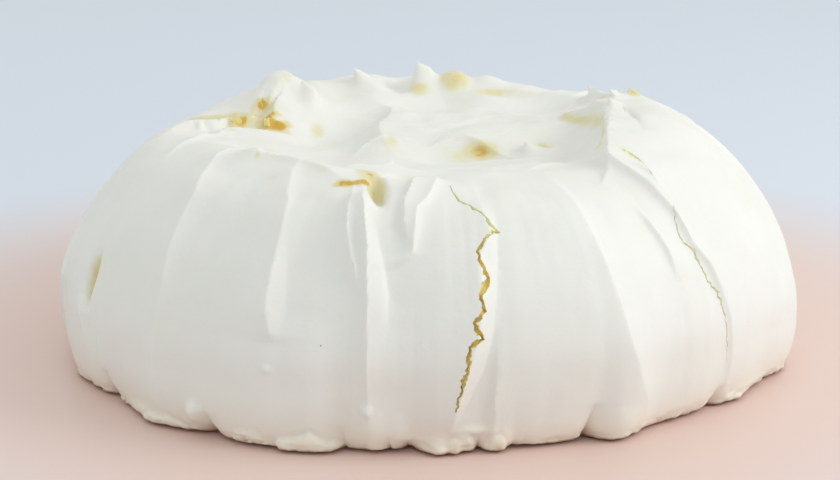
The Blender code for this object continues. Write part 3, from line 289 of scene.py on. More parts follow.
def round_table(angles, table):
    """The value of an (angle, value) table at each angle, joined up smoothly all the way round."""
    stops = np.array([row[0] for row in table] + [table[0][0] + 360], float)
    values = np.array([row[1] for row in table] + [table[0][1]], float)
    turned = (angles - stops[0]) % 360 + stops[0]
    place = np.clip(np.searchsorted(stops, turned, side="right") - 1, 0, len(stops) - 2)
    share = ease((turned - stops[place]) / (stops[place + 1] - stops[place]))
    return values[place] + (values[place + 1] - values[place]) * share


def away_from(angle, middle):
    """How far each angle is turned from the middle, from -180 to 180."""
    return (angle - middle + 180) % 360 - 180


def ridge(distance, left, right):
    """A ridge's height as a share of its rise, by the signed distance from its crest."""
    return np.where(distance < 0, np.exp(distance / left), np.exp(-distance / right))


def cell_value(cells, seed):
    """A number from -1 to 1 for each whole-numbered cell, the same every time."""
    mixed = cells[:, 0] * 73856093 ^ cells[:, 1] * 19349663 ^ cells[:, 2] * 83492791 ^ seed * 2654435761
    mixed = (mixed ^ (mixed >> 13)) * 1274126177
    mixed = mixed ^ (mixed >> 16)
    return (mixed & 0xFFFF) / 32767.5 - 1.0


def lumps(points, size, seed):
    """Smooth noise from -1 to 1 at each point, with lumps about the given size, which may differ by axis."""
    cells = points / np.array(size, float)
    base = np.floor(cells).astype(np.int64)
    share = cells - base
    share = share * share * (3 - 2 * share)
    total = np.zeros(len(points))
    for corner in itertools.product((0, 1), repeat=3):
        weight = np.prod(np.where(np.array(corner) == 1, share, 1 - share), axis=1)
        total += weight * cell_value(base + np.array(corner), seed)
    return total


def back_ridges():
    """Strokes round the back, each a little different from the last."""
    chance = random.Random(BACK_SEED)
    ridges = []
    angle = BACK_FROM + chance.uniform(0, 6)
    while angle < BACK_TO:
        slant = chance.uniform(-7, 7)
        rise = chance.uniform(1.4, 3.0)
        crisp, gentle = chance.uniform(2.0, 5.0), chance.uniform(9, 16)
        left, right = (crisp, gentle) if chance.random() < 0.5 else (gentle, crisp)
        ridges.append({
            "line": [(0, angle), (30, angle + 0.3 * slant), (68, angle + slant)],
            "rise": [(0, 0.4 * rise), (25, rise), (60, 0.8 * rise), (70, 0.5 * rise)],
            "left": left, "right": right,
        })
        angle += chance.uniform(*BACK_STROKE)
    return ridges


def wall_relief(angle, height, radius):
    """How far the wall stands out, from the ridges that the strokes left."""
    relief = np.zeros_like(angle)
    for stroke in FRONT_RIDGES + back_ridges():
        heights, angles = np.array(stroke["line"], float).T
        rise_heights, rises = np.array(stroke["rise"], float).T
        line = np.interp(height, heights, angles)
        rise = np.interp(height, rise_heights, rises)
        beyond = np.clip(heights[0] - height, 0, None)
        distance = np.radians(away_from(angle, line)) * np.maximum(radius, 20.0)
        relief += rise * ridge(distance, stroke["left"], stroke["right"]) * np.exp(-beyond / 4)
    return relief


def wall_lobes(angle, height):
    """How far the wall stands out, from its small lobes."""
    relief = np.zeros_like(angle)
    for lobe in WALL_LOBES:
        across = np.radians(away_from(angle, lobe["at"][0])) * WALL_ARC / lobe["reach"][0]
        up = (height - lobe["at"][1]) / lobe["reach"][1]
        relief += lobe["rise"] * np.exp(-((across ** 2 + up ** 2) ** 1.4))
    return relief


def distance_along(x, y, line):
    """The signed distance of each point from a line, above zero on its right, and how far along the line it is."""
    best = np.full_like(x, np.inf)
    signed = np.zeros_like(x)
    place = np.zeros_like(x)
    for number, ((ax, ay), (bx, by)) in enumerate(zip(line, line[1:])):
        along_x, along_y = bx - ax, by - ay
        length = math.hypot(along_x, along_y)
        share = ((x - ax) * along_x + (y - ay) * along_y) / length ** 2
        held = np.clip(share, 0, 1)
        far = np.hypot(x - ax - held * along_x, y - ay - held * along_y)
        side = (x - ax) * along_y - (y - ay) * along_x
        closer = far < best
        best = np.where(closer, far, best)
        signed = np.where(closer, np.where(side < 0, -far, far), signed)
        place = np.where(closer, number + held, place)
    return signed, place


def top_relief(x, y):
    """How far the top stands up, from its ridges, scoops and mounds."""
    relief = np.zeros_like(x)
    for stroke in TOP_RIDGES:
        line = curve_through(stroke["line"], 6)
        signed, place = distance_along(x, y, line)
        if "ragged" in stroke:
            signed = signed + stroke["ragged"] * lumps(np.stack([x, y, 0 * x], axis=1), (2.6, 2.6, 1), 51)
        rises = [0, *stroke["rise"], 0]
        rise = np.interp(place, np.linspace(0, len(line) - 1, len(rises)), rises)
        relief += rise * ridge(signed, stroke["left"], stroke["right"])
    for scoop in SCOOPS:
        turn = math.radians(scoop["turn"])
        dx, dy = x - scoop["at"][0], y - scoop["at"][1]
        along = (dx * math.cos(turn) + dy * math.sin(turn)) / scoop["reach"][0]
        across = (dy * math.cos(turn) - dx * math.sin(turn)) / scoop["reach"][1]
        relief -= scoop["depth"] * np.exp(-((along ** 2 + across ** 2) ** 1.4))
    return relief


def top_lumps(x, y):
    """The soft lumps that the swirled meringue keeps on top."""
    flat = np.stack([x, y, np.zeros_like(x)], axis=1)
    return 0.7 * lumps(flat, (17, 13, 1), 31) + 0.35 * lumps(flat, (7, 6, 1), 32)


def pull_up(points):
    """Draws the peaks up out of the top, each leaning more the higher it stands."""
    moved = points.copy()
    for pull in PULLS:
        away = np.hypot(points[:, 0] - pull["at"][0], points[:, 1] - pull["at"][1])
        share = np.exp(-((away / pull["radius"]) ** 1.5)) * (points[:, 2] > TOP_FROM)
        moved[:, 2] += pull["tall"] * share
        moved[:, 0] += pull["lean"][0] * share ** 2
        moved[:, 1] += pull["lean"][1] * share ** 2
    return moved


def foot_spread(angle, height):
    """How far the foot's thin skirts spread at each point, with skirts at chance wherever the table has none."""
    chance = random.Random(SKIRT_SEED)
    flakes = list(FOOT_FLAKES)
    at = FOOT_FLAKES[-1][0] + 14
    while at < FOOT_FLAKES[0][0] + 360 - 12:
        flakes.append((at, chance.uniform(3, 7), chance.uniform(0.2, 2.2), chance.uniform(2.4, 4.8)))
        at += chance.uniform(9, 17)
    turn = np.radians(angle)
    edge = np.stack([WALL_ARC * np.sin(turn), WALL_ARC * np.cos(turn), np.zeros_like(turn)], axis=1)
    ragged = 1 + 0.30 * lumps(edge, (6, 6, 6), 21) + 0.26 * lumps(edge, (2.4, 2.4, 2.4), 22)
    spread = np.zeros_like(angle)
    for middle, half, reach, tall in flakes:
        away = np.abs(away_from(angle, middle))
        lip = np.where(height < 1, ease(height), np.exp(-np.maximum(height - 1, 0) / (0.45 * tall)))
        spread = np.maximum(spread, reach * ragged * ease(1.5 - away / half) * lip)
    return spread


def flake_relief(angle, points):
    """How far the foot's flakes stand out, each a thin ragged lip with pores that is widest at its lower edge."""
    relief = np.zeros_like(angle)
    near = points[:, 2] < 11
    angle, spots = angle[near], points[near]
    ragged = 0.3 * lumps(spots, (4.2, 4.2, 3.4), 41) + 0.12 * lumps(spots, (1.3, 1.3, 1.2), 42)
    pores = np.clip(lumps(spots, (1.3, 1.3, 1.1), 43) - 0.15, 0, 1)
    total, groove = np.zeros(len(spots)), np.zeros(len(spots))
    for flake in FLAKES + chance_flakes():
        across = np.radians(away_from(angle, flake["at"][0])) * FLAKE_ARC / flake["reach"][0]
        up = (spots[:, 2] - flake["at"][1]) / flake["reach"][1]
        inside = 1 + ragged - across ** 2 - np.maximum(up, 0)
        plate = ease(inside / flake["soft"]) * ease(0.9 - 0.5 * up)
        total = np.maximum(total, plate * (flake["rise"] - 1.3 * flake["porous"] * pores))
        crease = 0.3 * ease(1.6 - 2 * flake["soft"]) * np.exp(-(((inside + 0.1) / 0.16) ** 2))
        groove = np.maximum(groove, crease * ease(0.4 + up) * ease(1.4 - across ** 2))
    relief[near] = total - groove * ease(1 - 2 * total)
    return relief


def chance_flakes():
    """Flakes at chance round the part of the foot that the table leaves out."""
    chance = random.Random(FLAKE_SEED)
    flakes = []
    at = FLAKES[-1]["at"][0] + 10
    while at < FLAKES[0]["at"][0] + 360 - 8:
        flakes.append({
            "at": (at, chance.uniform(0.4, 2.4)), "reach": (chance.uniform(6, 14), chance.uniform(2.2, 4.2)),
            "rise": chance.uniform(0.4, 1.3), "porous": chance.choice((0.0, 0.2, 0.5, 1.2)),
            "soft": chance.uniform(0.4, 1.2),
        })
        at += chance.uniform(8, 19)
    return flakes


def notch_depth(angle, height):
    """How far the foot is split in at each point, in pointed clefts."""
    depth = np.zeros_like(angle)
    for middle, half, deep, tall in NOTCHES:
        away = np.abs(away_from(angle, middle)) / half
        depth = np.maximum(depth, deep * np.exp(-away) * np.maximum(1 - height / tall, 0) ** 0.8)
    return depth


def outward(radius, height):
    """The direction in which the surface moves: sideways low on the wall, and straight up on top."""
    side = np.maximum(radius - CREST_RADIUS - 2, 0)
    up = np.maximum(height - 28, 0)
    up = np.where((side == 0) & (up == 0), 1, up)
    length = np.hypot(side, up)
    return side / length, up / length


def fine_relief(angle, points):
    """The small unevenness of the baked skin: soft dents, faint streaks along the strokes, and a rougher foot."""
    x, y, z = points.T
    turn = np.radians(angle)
    round_wall = np.stack([WIDEST_RADIUS * np.sin(turn), WIDEST_RADIUS * np.cos(turn), z], axis=1)
    dents = 0.35 * lumps(points, (24, 24, 24), 3) + 0.16 * lumps(points, (9, 9, 9), 5)
    streaks = 0.16 * lumps(round_wall, (5, 5, 60), 8) + 0.07 * lumps(round_wall, (2.2, 2.2, 30), 9)
    on_wall = ease((np.hypot(x, y) - 74) / 14)
    low = ease((6 - z) / 5)
    rough = 0.6 * lumps(points, (3.1, 3.1, 2.2), 12) + 0.38 * lumps(points, (1.3, 1.3, 1.1), 13)
    return dents * (1 - low) + streaks * on_wall * (1 - low) + rough * low


def sculpt(points, fine=False):
    """Moves points of the turned blank as the spatula did. Takes and returns an array of x, y, z in millimetres."""
    x, y, z = points.T
    radius = np.hypot(x, y)
    angle = np.degrees(np.arctan2(x, -y))
    upper = z > TOP_FROM
    inward = ease((CREST_RADIUS + 7 - radius) / 16) * upper
    rim = np.exp(-(((radius - CREST_RADIUS) / RIM_REACH) ** 2)) * upper
    on_top = ease((TOP_EDGE - radius) / 12) * upper
    relief = (wall_relief(angle, z, radius) + wall_lobes(angle, z)) * (1 - inward)
    relief = relief + on_top * (top_relief(x, y) + top_lumps(x, y)) + rim * round_table(angle, RIM_LIFTS)
    if fine:
        relief = relief + fine_relief(angle, points) + flake_relief(angle, points)
    side, up = outward(radius, z)
    uneven = sum(much * np.sin(np.radians(times * angle + turn)) for much, times, turn in STRAYS)
    uneven += round_table(angle, FOOT_REACH) * ease((FOOT_HEIGHT - z) / FOOT_HEIGHT)
    foot = foot_spread(angle, z) - notch_depth(angle, z)
    out = side * relief + (1 - inward) * (uneven + foot)
    grounded = z <= 0.01
    out = np.where(grounded, out * (radius > FOOT_RING), out)
    moved_radius = np.where(radius > 0, radius + out, 0)
    moved_z = np.where(grounded, 0, np.maximum(z + up * relief, 0.3))
    scale = np.where(radius > 0, moved_radius / np.maximum(radius, 1e-9), 1)
    return pull_up(np.stack([x * scale, y * scale, moved_z], axis=1))


def on_wall(height, angle):
    """The point of the finished wall at this height and angle, and the direction straight out of it."""
    outline = np.array([row for row in OUTLINE if row[0] >= CREST_RADIUS], float)
    radius = float(np.interp(height, outline[::-1, 1], outline[::-1, 0]))
    turn = math.radians(angle)
    point = sculpt(np.array([[radius * math.sin(turn), -radius * math.cos(turn), height]]))[0]
    side, up = outward(np.array([radius]), np.array([float(height)]))
    return point, np.array([side[0] * math.sin(turn), -side[0] * math.cos(turn), up[0]])


def set_mode(mode):
    """Turns to edit or object mode."""
    bpy.ops.object.mode_set(mode=mode)


def deselect():
    """Leaves object mode with nothing selected."""
    if bpy.context.object is not None and bpy.context.object.mode != "OBJECT":
        set_mode("OBJECT")
    bpy.ops.object.select_all(action="DESELECT")


def select_only(obj):
    """Selects one object and makes it active."""
    deselect()
    obj.select_set(True)
    bpy.context.view_layer.objects.active = obj


def get_points(mesh):
    """The mesh's points as an array of x, y, z in millimetres."""
    flat = np.empty(len(mesh.vertices) * 3)
    mesh.vertices.foreach_get("co", flat)
    return flat.reshape(-1, 3) / MM


def set_points(mesh, points):
    """Moves the mesh's points to an array of x, y, z in millimetres."""
    mesh.vertices.foreach_set("co", (points * MM).ravel())
    mesh.update()


def modify(obj, name, kind, **settings):
    """Adds a modifier with its settings and applies it."""
    modifier = obj.modifiers.new(name, kind)
    modifier.show_viewport = False
    for key, value in settings.items():
        setattr(modifier, key, value)
    select_only(obj)
    bpy.ops.object.modifier_apply(modifier=name)


def spin_round(name):
    """The plain round: its half outline extruded point by point, then turned about the upright axis."""
    rows = curve_through(OUTLINE, ROW_STEP)
    rows = rows[(rows[:, 0] == 0) | (rows[:, 0] > FIRST_RING)]
    rows = np.vstack([rows, (FOOT_RING, 0.0), (0.0, 0.0)])
    deselect()
    bpy.ops.mesh.primitive_plane_add(size=MM, location=(0, 0, rows[0][1] * MM))
    bpy.ops.object.transform_apply(location=True)
    obj = bpy.context.object
    obj.name = obj.data.name = name
    set_mode("EDIT")
    bpy.ops.mesh.merge(type="CENTER")
    for upper, lower in zip(rows, rows[1:]):
        step = ((lower[0] - upper[0]) * MM, 0, (lower[1] - upper[1]) * MM)
        bpy.ops.mesh.extrude_region_move(TRANSFORM_OT_translate={"value": step})
    set_mode("OBJECT")
    modify(obj, "turn", "SCREW", axis="Z", steps=COLUMNS, render_steps=COLUMNS, use_merge_vertices=True,
           merge_threshold=0.00001, use_normal_calculate=True)
    return obj


def centre(mesh):
    """Rests the underside flat at height 0 and puts the middle of the box over the origin."""
    points = get_points(mesh)
    points[:, :2] -= (points[:, :2].max(axis=0) + points[:, :2].min(axis=0)) / 2
    points[:, 2] = np.maximum(points[:, 2], 0)
    set_points(mesh, points)


def jagged_path(points, step, wander, chance):
    """Points about one step apart along the path, each a little off it by chance."""
    points = [np.array(point, float) for point in points]
    made = []
    for start, stop in zip(points, points[1:]):
        count = max(1, round(float(np.linalg.norm(stop - start)) / step))
        for t in np.arange(count) / count:
            made.append(start + (stop - start) * t)
    made.append(points[-1])
    return [point + np.array([chance.uniform(-wander, wander) for _ in point]) for point in made]


def crack_cutter(name, points, outs, crack, material, chance):
    """A jagged wedge that follows the points, widest at the surface, which cuts one crack or tear."""
    width, depth = crack["width"], crack["depth"]
    legs = len(points) - 1
    deselect()
    bpy.ops.mesh.primitive_cylinder_add(vertices=4, radius=1, depth=legs, end_fill_type="NGON")
    cutter = bpy.context.object
    cutter.name = name
    set_mode("EDIT")
    bpy.ops.mesh.select_mode(type="EDGE")
    bpy.ops.mesh.select_all(action="DESELECT")
    set_mode("OBJECT")
    for edge in cutter.data.edges:
        low, high = (cutter.data.vertices[v].co.z for v in edge.vertices)
        edge.select = abs(low - high) > 0.5
    set_mode("EDIT")
    if legs > 1:
        bpy.ops.mesh.subdivide(number_cuts=legs - 1)
    set_mode("OBJECT")
    bar = get_points(cutter.data) * MM
    rings = np.rint(bar[:, 2] + legs / 2).astype(int)
    corners = np.rint(np.degrees(np.arctan2(bar[:, 1], bar[:, 0])) / 90).astype(int) % 4
    halves = [[0.5 * width * chance.uniform(0.3, 1.5) for _ in points] for _ in range(2)]
    placed = np.empty_like(bar)
    for index, (ring, corner) in enumerate(zip(rings, corners)):
        before, after = points[max(0, ring - 1)], points[min(legs, ring + 1)]
        out = outs[ring]
        across = np.cross(after - before, out)
        across /= np.linalg.norm(across)
        share = ring / legs
        swell = 0.22 + 0.78 * math.sin(math.pi * share) ** 0.6
        deep = depth * (0.35 + 0.65 * math.sin(math.pi * share) ** 0.5)
        left, right = halves[0][ring] * swell, halves[1][ring] * swell
        high, low = points[ring] + out * CUTTER_TALL, points[ring] - out * deep
        placed[index] = (high - across * left * CUTTER_TOP, high + across * right * CUTTER_TOP,
                         low + across * right * CUTTER_TIP, low - across * left * CUTTER_TIP)[corner]
    set_points(cutter.data, placed)
    set_mode("EDIT")
    bpy.ops.mesh.select_all(action="SELECT")
    bpy.ops.mesh.quads_convert_to_tris()
    bpy.ops.mesh.normals_make_consistent(inside=False)
    set_mode("OBJECT")
    cutter.data.materials.append(material)
    return cutter


def crack_cutters(material):
    """Every crack of the wall and tear of the top as a cutter of its own."""
    chance = random.Random(CRACK_SEED)
    cutters = []
    for number, crack in enumerate(WALL_CRACKS):
        fine_line = jagged_path(crack["line"], 0.8, 0.0, chance)
        places = [on_wall(height, angle + chance.uniform(-0.18, 0.18)) for height, angle in fine_line]
        points, outs = [place[0] for place in places], [place[1] for place in places]
        cutters.append(crack_cutter(f"crack_{number}", points, outs, crack, material, chance))
    for number, tear in enumerate(TOP_TEARS):
        points = jagged_path(tear["line"], 1.4, 0.25, chance)
        outs = [np.array([0.0, 0.0, 1.0])] * len(points)
        cutters.append(crack_cutter(f"tear_{number}", points, outs, tear, material, chance))
    return cutters


# Tan and golden bands along folds and tears: (x, y, height) along the band, how far it reaches and the strength. The
# last two run down the slots on the left wall, where the tan is partly painted shade of the slots.
TOAST_BANDS = named(("line", "reach", "strength"), [
    ([(-76, 30, 64.3), (-71, 30.6, 64.9), (-66, 30.8, 65.4), (-61.5, 28.5, 65.7)], 3.6, 0.62),
    ([(-62, 27, 65.4), (-59.5, 18, 66.4), (-54, 18.6, 66), (-51, 19.8, 65.4), (-47, 21.2, 64.5)], 3.3, 1.1),
    ([(-54.6, 32, 69.6), (-53.7, 29.4, 68), (-52.4, 26, 66), (-51.2, 20.4, 66)], 3, 1.2),
    ([(-25.4, -73.4, 68.2), (-20.7, -73.8, 68.3), (-17, -72.4, 68)], 1.6, 1.2),
    ([(-17.8, -62, 68), (-16.4, -68, 68), (-14.8, -72.6, 66.6), (-15.4, -74.6, 64.4)], 3.3, 0.62),
    ([(55, -52.4, 73), (60, -58, 70.5)], 1.3, 0.32),
    ([(43, 20, 67), (49.6, 12.7, 67.9), (53.4, -4, 71)], 2.6, 0.5),
    ([(53.2, -8, 71.4), (51.8, -24, 71.4), (49.4, -42, 70.8)], 1.7, 0.42),
    # These two bands lie in the slots on the left wall: a tan tint that is partly painted shade of the slots' gaps.
    ([(-96.4, -49, 36.5), (-97, -49.5, 33), (-97.6, -50.6, 29)], 2.7, 0.6),
    ([(-106, -25, 23), (-105.4, -27.6, 13)], 2.2, 0.5),
])

# Tan and golden spots on top: (x, y, height), the reach across, back and up, and the strength.
TOAST_SPOTS = named(("at", "reach", "strength"), [
    ((-62, 7, 66), (1.3, 2.6, 3), 0.8), ((-47.5, 42, 75), (2.4, 3, 2.4), 0.4), ((-36, 26, 61), (2.6, 6, 3), 0.42),
    ((-49, -54, 71.5), (0.9, 1.6, 2), 0.4), ((-31, -55, 67), (4, 4, 3), 0.36), ((-44, -66, 68), (3, 3, 2), 0.2),
    ((-6, -60, 66), (4, 7, 4), 0.26), ((-12, -2, 63), (3, 5, 3), 0.4), ((-3, 61, 68), (3.6, 5, 2.6), 0.6),
    ((9, 64, 71), (4.6, 7, 4), 0.78), ((22, 57, 68), (8, 3, 2.4), 0.42), ((32, 54, 68), (6, 3, 2), 0.25),
    ((16, -2, 60.5), (5, 4.4, 3), 0.95), ((-17, -65, 68), (2, 3, 2), 0.9), ((11, -5, 60), (10, 6, 3), 0.3),
    ((36, 1.5, 62), (2.2, 2.4, 2), 0.85), ((33, 22, 64), (3, 4, 3), 0.3), ((58, 26, 72), (3, 4, 2), 0.3),
    ((66, 20, 76), (3, 4, 2.4), 0.8), ((-30, -66, 70), (3, 2, 2), 0.2), ((0, 84, 66), (4, 5, 4), 0.3),
])


def distance_from(points, line):
    """How far each point is from a line of straight legs."""
    nearest = np.full(len(points), np.inf)
    for start, stop in zip(line, line[1:]):
        along = stop - start
        share = np.clip((points - start) @ along / (along @ along), 0, 1)
        nearest = np.minimum(nearest, np.linalg.norm(points - start - share[:, None] * along, axis=1))
    return nearest


def depth_in_cuts(mesh):
    """How deep in a crack each point lies, from 0 on the crust to 1 at 2 mm and more from it."""
    crust = set()
    for face in mesh.polygons:
        if face.material_index == 0:
            crust.update(face.vertices)
    tree = KDTree(len(crust))
    for index in crust:
        tree.insert(mesh.vertices[index].co, index)
    tree.balance()
    depth = np.zeros(len(mesh.vertices))
    for vertex in mesh.vertices:
        if vertex.index not in crust:
            depth[vertex.index] = min(1.0, tree.find(vertex.co)[2] / (2 * MM))
    return depth


def paint_attributes(mesh):
    """Stores how toasted and creamy the crust is at each point, how much painted shade falls in the foot's notches,
    and how deep and pale its cracks are.
    """
    points = get_points(mesh)
    x, y, z = points.T
    toast = np.zeros(len(points))
    for spot in TOAST_SPOTS:
        away = np.linalg.norm((points - np.array(spot["at"])) / np.array(spot["reach"]), axis=1)
        toast = np.maximum(toast, spot["strength"] * np.exp(-(away ** 2)))
    frayed = 1 + 0.35 * lumps(points, (3, 3, 3), 61) + 0.2 * lumps(points, (1.2, 1.2, 1.2), 62)
    for band in TOAST_BANDS:
        away = distance_from(points, np.array(band["line"], float)) / (band["reach"] * frayed)
        toast = np.maximum(toast, band["strength"] * np.exp(-(away ** 2)))
    toast = np.minimum(toast, 1)
    angle = np.degrees(np.arctan2(x, -y))
    foot = ease((7 - z) / 6) * np.clip(foot_spread(angle, z) / 3, 0, 1)
    # Painted shade in the foot's notches, strongest in the deep clefts near the floor where they lie in shadow.
    crevice_shade = ease((6 - z) / 6) * np.clip(notch_depth(angle, z) / 3, 0, 1)
    pale = (0.9 * ease((z - 54) / 6) + 0.3 * ease((34 - z) / 14)) * ease((angle + 5) / 5)
    pale = np.maximum(pale, ease((angle - 25) / 10) * ease((80 - angle) / 10))
    for name, values in (("toast", toast), ("foot", foot), ("crevice_shade", crevice_shade), ("deep", depth_in_cuts(mesh)),
                         ("pale", pale)):
        layer = mesh.attributes.new(name, "FLOAT", "POINT")
        layer.data.foreach_set("value", values.astype(np.float32))


class NodeSheet:
    """Adds shader nodes to a material and links them, with values set on the sockets."""

    def __init__(self, name):
        self.material = bpy.data.materials.new(name)
        self.material.use_nodes = True
        self.nodes = self.material.node_tree.nodes
        self.links = self.material.node_tree.links
        self.surface = self.nodes["Principled BSDF"]

    def add(self, kind, settings=None, **inputs):
        node = self.nodes.new(kind)
        for key, value in (settings or {}).items():
            setattr(node, key, value)
        for key, value in inputs.items():
            self.put(node.inputs[key.replace("_", " ")], value)
        return node

    def attribute(self, name):
        return self.add("ShaderNodeAttribute", {"attribute_name": name}).outputs["Fac"]

    def put(self, socket, value):
        if isinstance(value, bpy.types.NodeSocket):
            self.links.new(value, socket)
        else:
            socket.default_value = value

    def math(self, operation, first, second=0.0, clamp=False):
        node = self.nodes.new("ShaderNodeMath")
        node.operation = operation
        node.use_clamp = clamp
        self.put(node.inputs[0], first)
        self.put(node.inputs[1], second)
        return node.outputs[0]

    def mix(self, factor, first, second):
        node = self.nodes.new("ShaderNodeMix")
        node.data_type = "RGBA"
        self.put(node.inputs["Factor"], factor)
        self.put(node.inputs[6], first)
        self.put(node.inputs[7], second)
        return node.outputs[2]

    def noise(self, where, scale, detail=2.0, roughness=0.5):
        settings = {"Vector": where, "Scale": scale, "Detail": detail, "Roughness": roughness}
        return self.add("ShaderNodeTexNoise", None, **settings).outputs["Fac"]

    def ramp(self, value, low, high):
        smooth = {"interpolation_type": "SMOOTHSTEP"}
        return self.add("ShaderNodeMapRange", smooth, Value=value, From_Min=low, From_Max=high).outputs["Result"]

    def bump(self, height, strength, distance, after=None):
        node = self.add("ShaderNodeBump", None, Height=height, Strength=strength, Distance=distance)
        if after is not None:
            self.links.new(after, node.inputs["Normal"])
        return node.outputs["Normal"]

    def finish(self, **inputs):
        for key, value in inputs.items():
            self.put(self.surface.inputs[key.replace("_", " ")], value)
        return self.material


def crust_material(settings):
    """Dry, smooth meringue crust: warm white, faintly pitted, tan in the hollows and creamy at the foot, with the low
    wall partly painted warm bounce light and dark brown-red painted shade along the underside rim and in the notches.
    """
    sheet = NodeSheet("meringue_crust")
    where = sheet.add("ShaderNodeTexCoord").outputs["Object"]
    toast = sheet.attribute("toast")
    foot = sheet.attribute("foot")
    crevice_shade = sheet.attribute("crevice_shade")
    cloud = sheet.noise(where, 35.0, 3.0)
    patch = sheet.noise(where, 260.0, 4.0, 0.6)
    grain = sheet.noise(where, 900.0, 2.0)
    white = sheet.mix(sheet.ramp(cloud, 0.3, 0.7), (*settings.crust_colour, 1), (*settings.shade_colour, 1))
    height = sheet.add("ShaderNodeSeparateXYZ", None, Vector=where).outputs["Z"]
    # The lowest 14 mm of the wall turn creamier: partly a real creamier bake, partly painted warm bounce light from
    # the floor.
    baked = sheet.mix(sheet.math("MULTIPLY", sheet.ramp(height, 0.014, 0.0), 0.6), white, (*settings.low_colour, 1))
    cream = sheet.mix(sheet.math("MULTIPLY", foot, sheet.ramp(patch, 0.25, 0.65)), baked, (*settings.cream_colour, 1))
    uneven = sheet.math("MULTIPLY", toast, sheet.math("ADD", 0.45, sheet.math("MULTIPLY", patch, 1.3)), clamp=True)
    tan = sheet.mix(sheet.ramp(uneven, 0.05, 0.55), cream, (*settings.tan_colour, 1))
    gold = sheet.mix(sheet.ramp(uneven, 0.55, 1.05), tan, (*settings.gold_colour, 1))
    # Painted shade: the notches turn dark brown-red where they lie in shadow.
    notch_shaded = sheet.mix(sheet.math("MULTIPLY", crevice_shade, 0.7), gold, (*settings.contact_shade_colour, 1))
    # Painted contact shadow: the lowest 2 mm of the crust turn dark brown-red where the foot meets the floor.
    underside_shade = sheet.mix(sheet.ramp(height, 0.0020, 0.0003), notch_shaded, (*settings.contact_shade_colour, 1))
    dots = sheet.add("ShaderNodeTexVoronoi", None, Vector=where, Scale=75.0)
    speck = sheet.math("LESS_THAN", dots.outputs["Distance"], 0.02)
    chosen = sheet.add("ShaderNodeSeparateColor", None, Color=dots.outputs["Color"]).outputs[0]
    rare = sheet.math("GREATER_THAN", chosen, 0.72)
    colour = sheet.mix(sheet.math("MULTIPLY", speck, rare), underside_shade, (*settings.speck_colour, 1))
    rough = sheet.math("ADD", 0.42, sheet.math("MULTIPLY", grain, 0.2))
    broad = sheet.bump(cloud, 0.25, 0.0008)
    pitted = sheet.bump(patch, 0.18, 0.0004, broad)
    return sheet.finish(Base_Color=colour, Roughness=rough, Normal=sheet.bump(grain, 0.12, 0.0002, pitted),
                        Specular_IOR_Level=0.35, Subsurface_Weight=0.25, Subsurface_Radius=(1.0, 0.8, 0.55),
                        Subsurface_Scale=0.003)


def crumb_material(settings):
    """The torn inside of the meringue: golden, porous and matt, with painted shade that turns it darker gold the
    deeper it lies.
    """
    sheet = NodeSheet("meringue_crumb")
    where = sheet.add("ShaderNodeTexCoord").outputs["Object"]
    deep = sheet.attribute("deep")
    patch = sheet.noise(where, 420.0, 3.0, 0.6)
    pores = sheet.add("ShaderNodeTexVoronoi", None, Vector=where, Scale=1100.0).outputs["Distance"]
    inward = sheet.math("ADD", deep, sheet.math("MULTIPLY", sheet.math("SUBTRACT", patch, 0.5), 0.9))
    # Painted shade inside the cracks: the crumb turns darker gold the deeper it lies from the crust.
    deep_shade = sheet.math("MULTIPLY", sheet.ramp(inward, 0.05, 0.95), 0.4)
    pale = sheet.attribute("pale")
    torn = sheet.mix(deep_shade, (*settings.crumb_colour, 1), (*settings.gold_colour, 1))
    colour = sheet.mix(pale, torn, (*settings.pale_colour, 1))
    return sheet.finish(Base_Color=colour, Roughness=0.75, Normal=sheet.bump(pores, 0.6, 0.0006),
                        Specular_IOR_Level=0.2, Subsurface_Weight=0.3, Subsurface_Radius=(1.0, 0.7, 0.3),
                        Subsurface_Scale=0.0015)


def colour_setting(name, description, default):
    """A colour that the sidebar shows."""
    return bpy.props.FloatVectorProperty(name=name, description=description, subtype="COLOR", default=default)


class PavlovaMeringueSettings(bpy.types.PropertyGroup):
    """Colours of the meringue."""

    crust_colour: colour_setting("Crust", "Warm white of the dry crust", (0.84, 0.835, 0.80))
    shade_colour: colour_setting(
        "Crust shade", "Slightly greyer white between the brightest parts", (0.81, 0.805, 0.76))
    # The low wall's cream is partly the bake and partly painted warm bounce light from the floor.
    low_colour: colour_setting("Low wall", "Creamier crust just above the foot", (0.86, 0.79, 0.66))
    cream_colour: colour_setting("Foot", "Cream of the thin flakes at the foot", (0.86, 0.79, 0.62))
    tan_colour: colour_setting("Tan", "Lightly toasted spots in the hollows", (0.75, 0.69, 0.42))
    # Gold also serves as the painted shade deep in the cracks.
    gold_colour: colour_setting("Gold", "Darkest caramelised spots and crack walls", (0.62, 0.375, 0.045))
    crumb_colour: colour_setting("Crumb", "Torn inside of the meringue", (0.80, 0.68, 0.28))
    pale_colour: colour_setting("Pale crumb", "Torn inside where the crack is shallow", (0.88, 0.88, 0.64))
    speck_colour: colour_setting("Specks", "Browned sugar on the crust", (0.30, 0.22, 0.13))
    # Painted contact shade: a dark brown-red put on the underside's lowest rim and in the foot's notches, where the
    # shadow falls.
    contact_shade_colour: colour_setting("Underside", "Caramelised rim of the underside", (0.36, 0.13, 0.035))


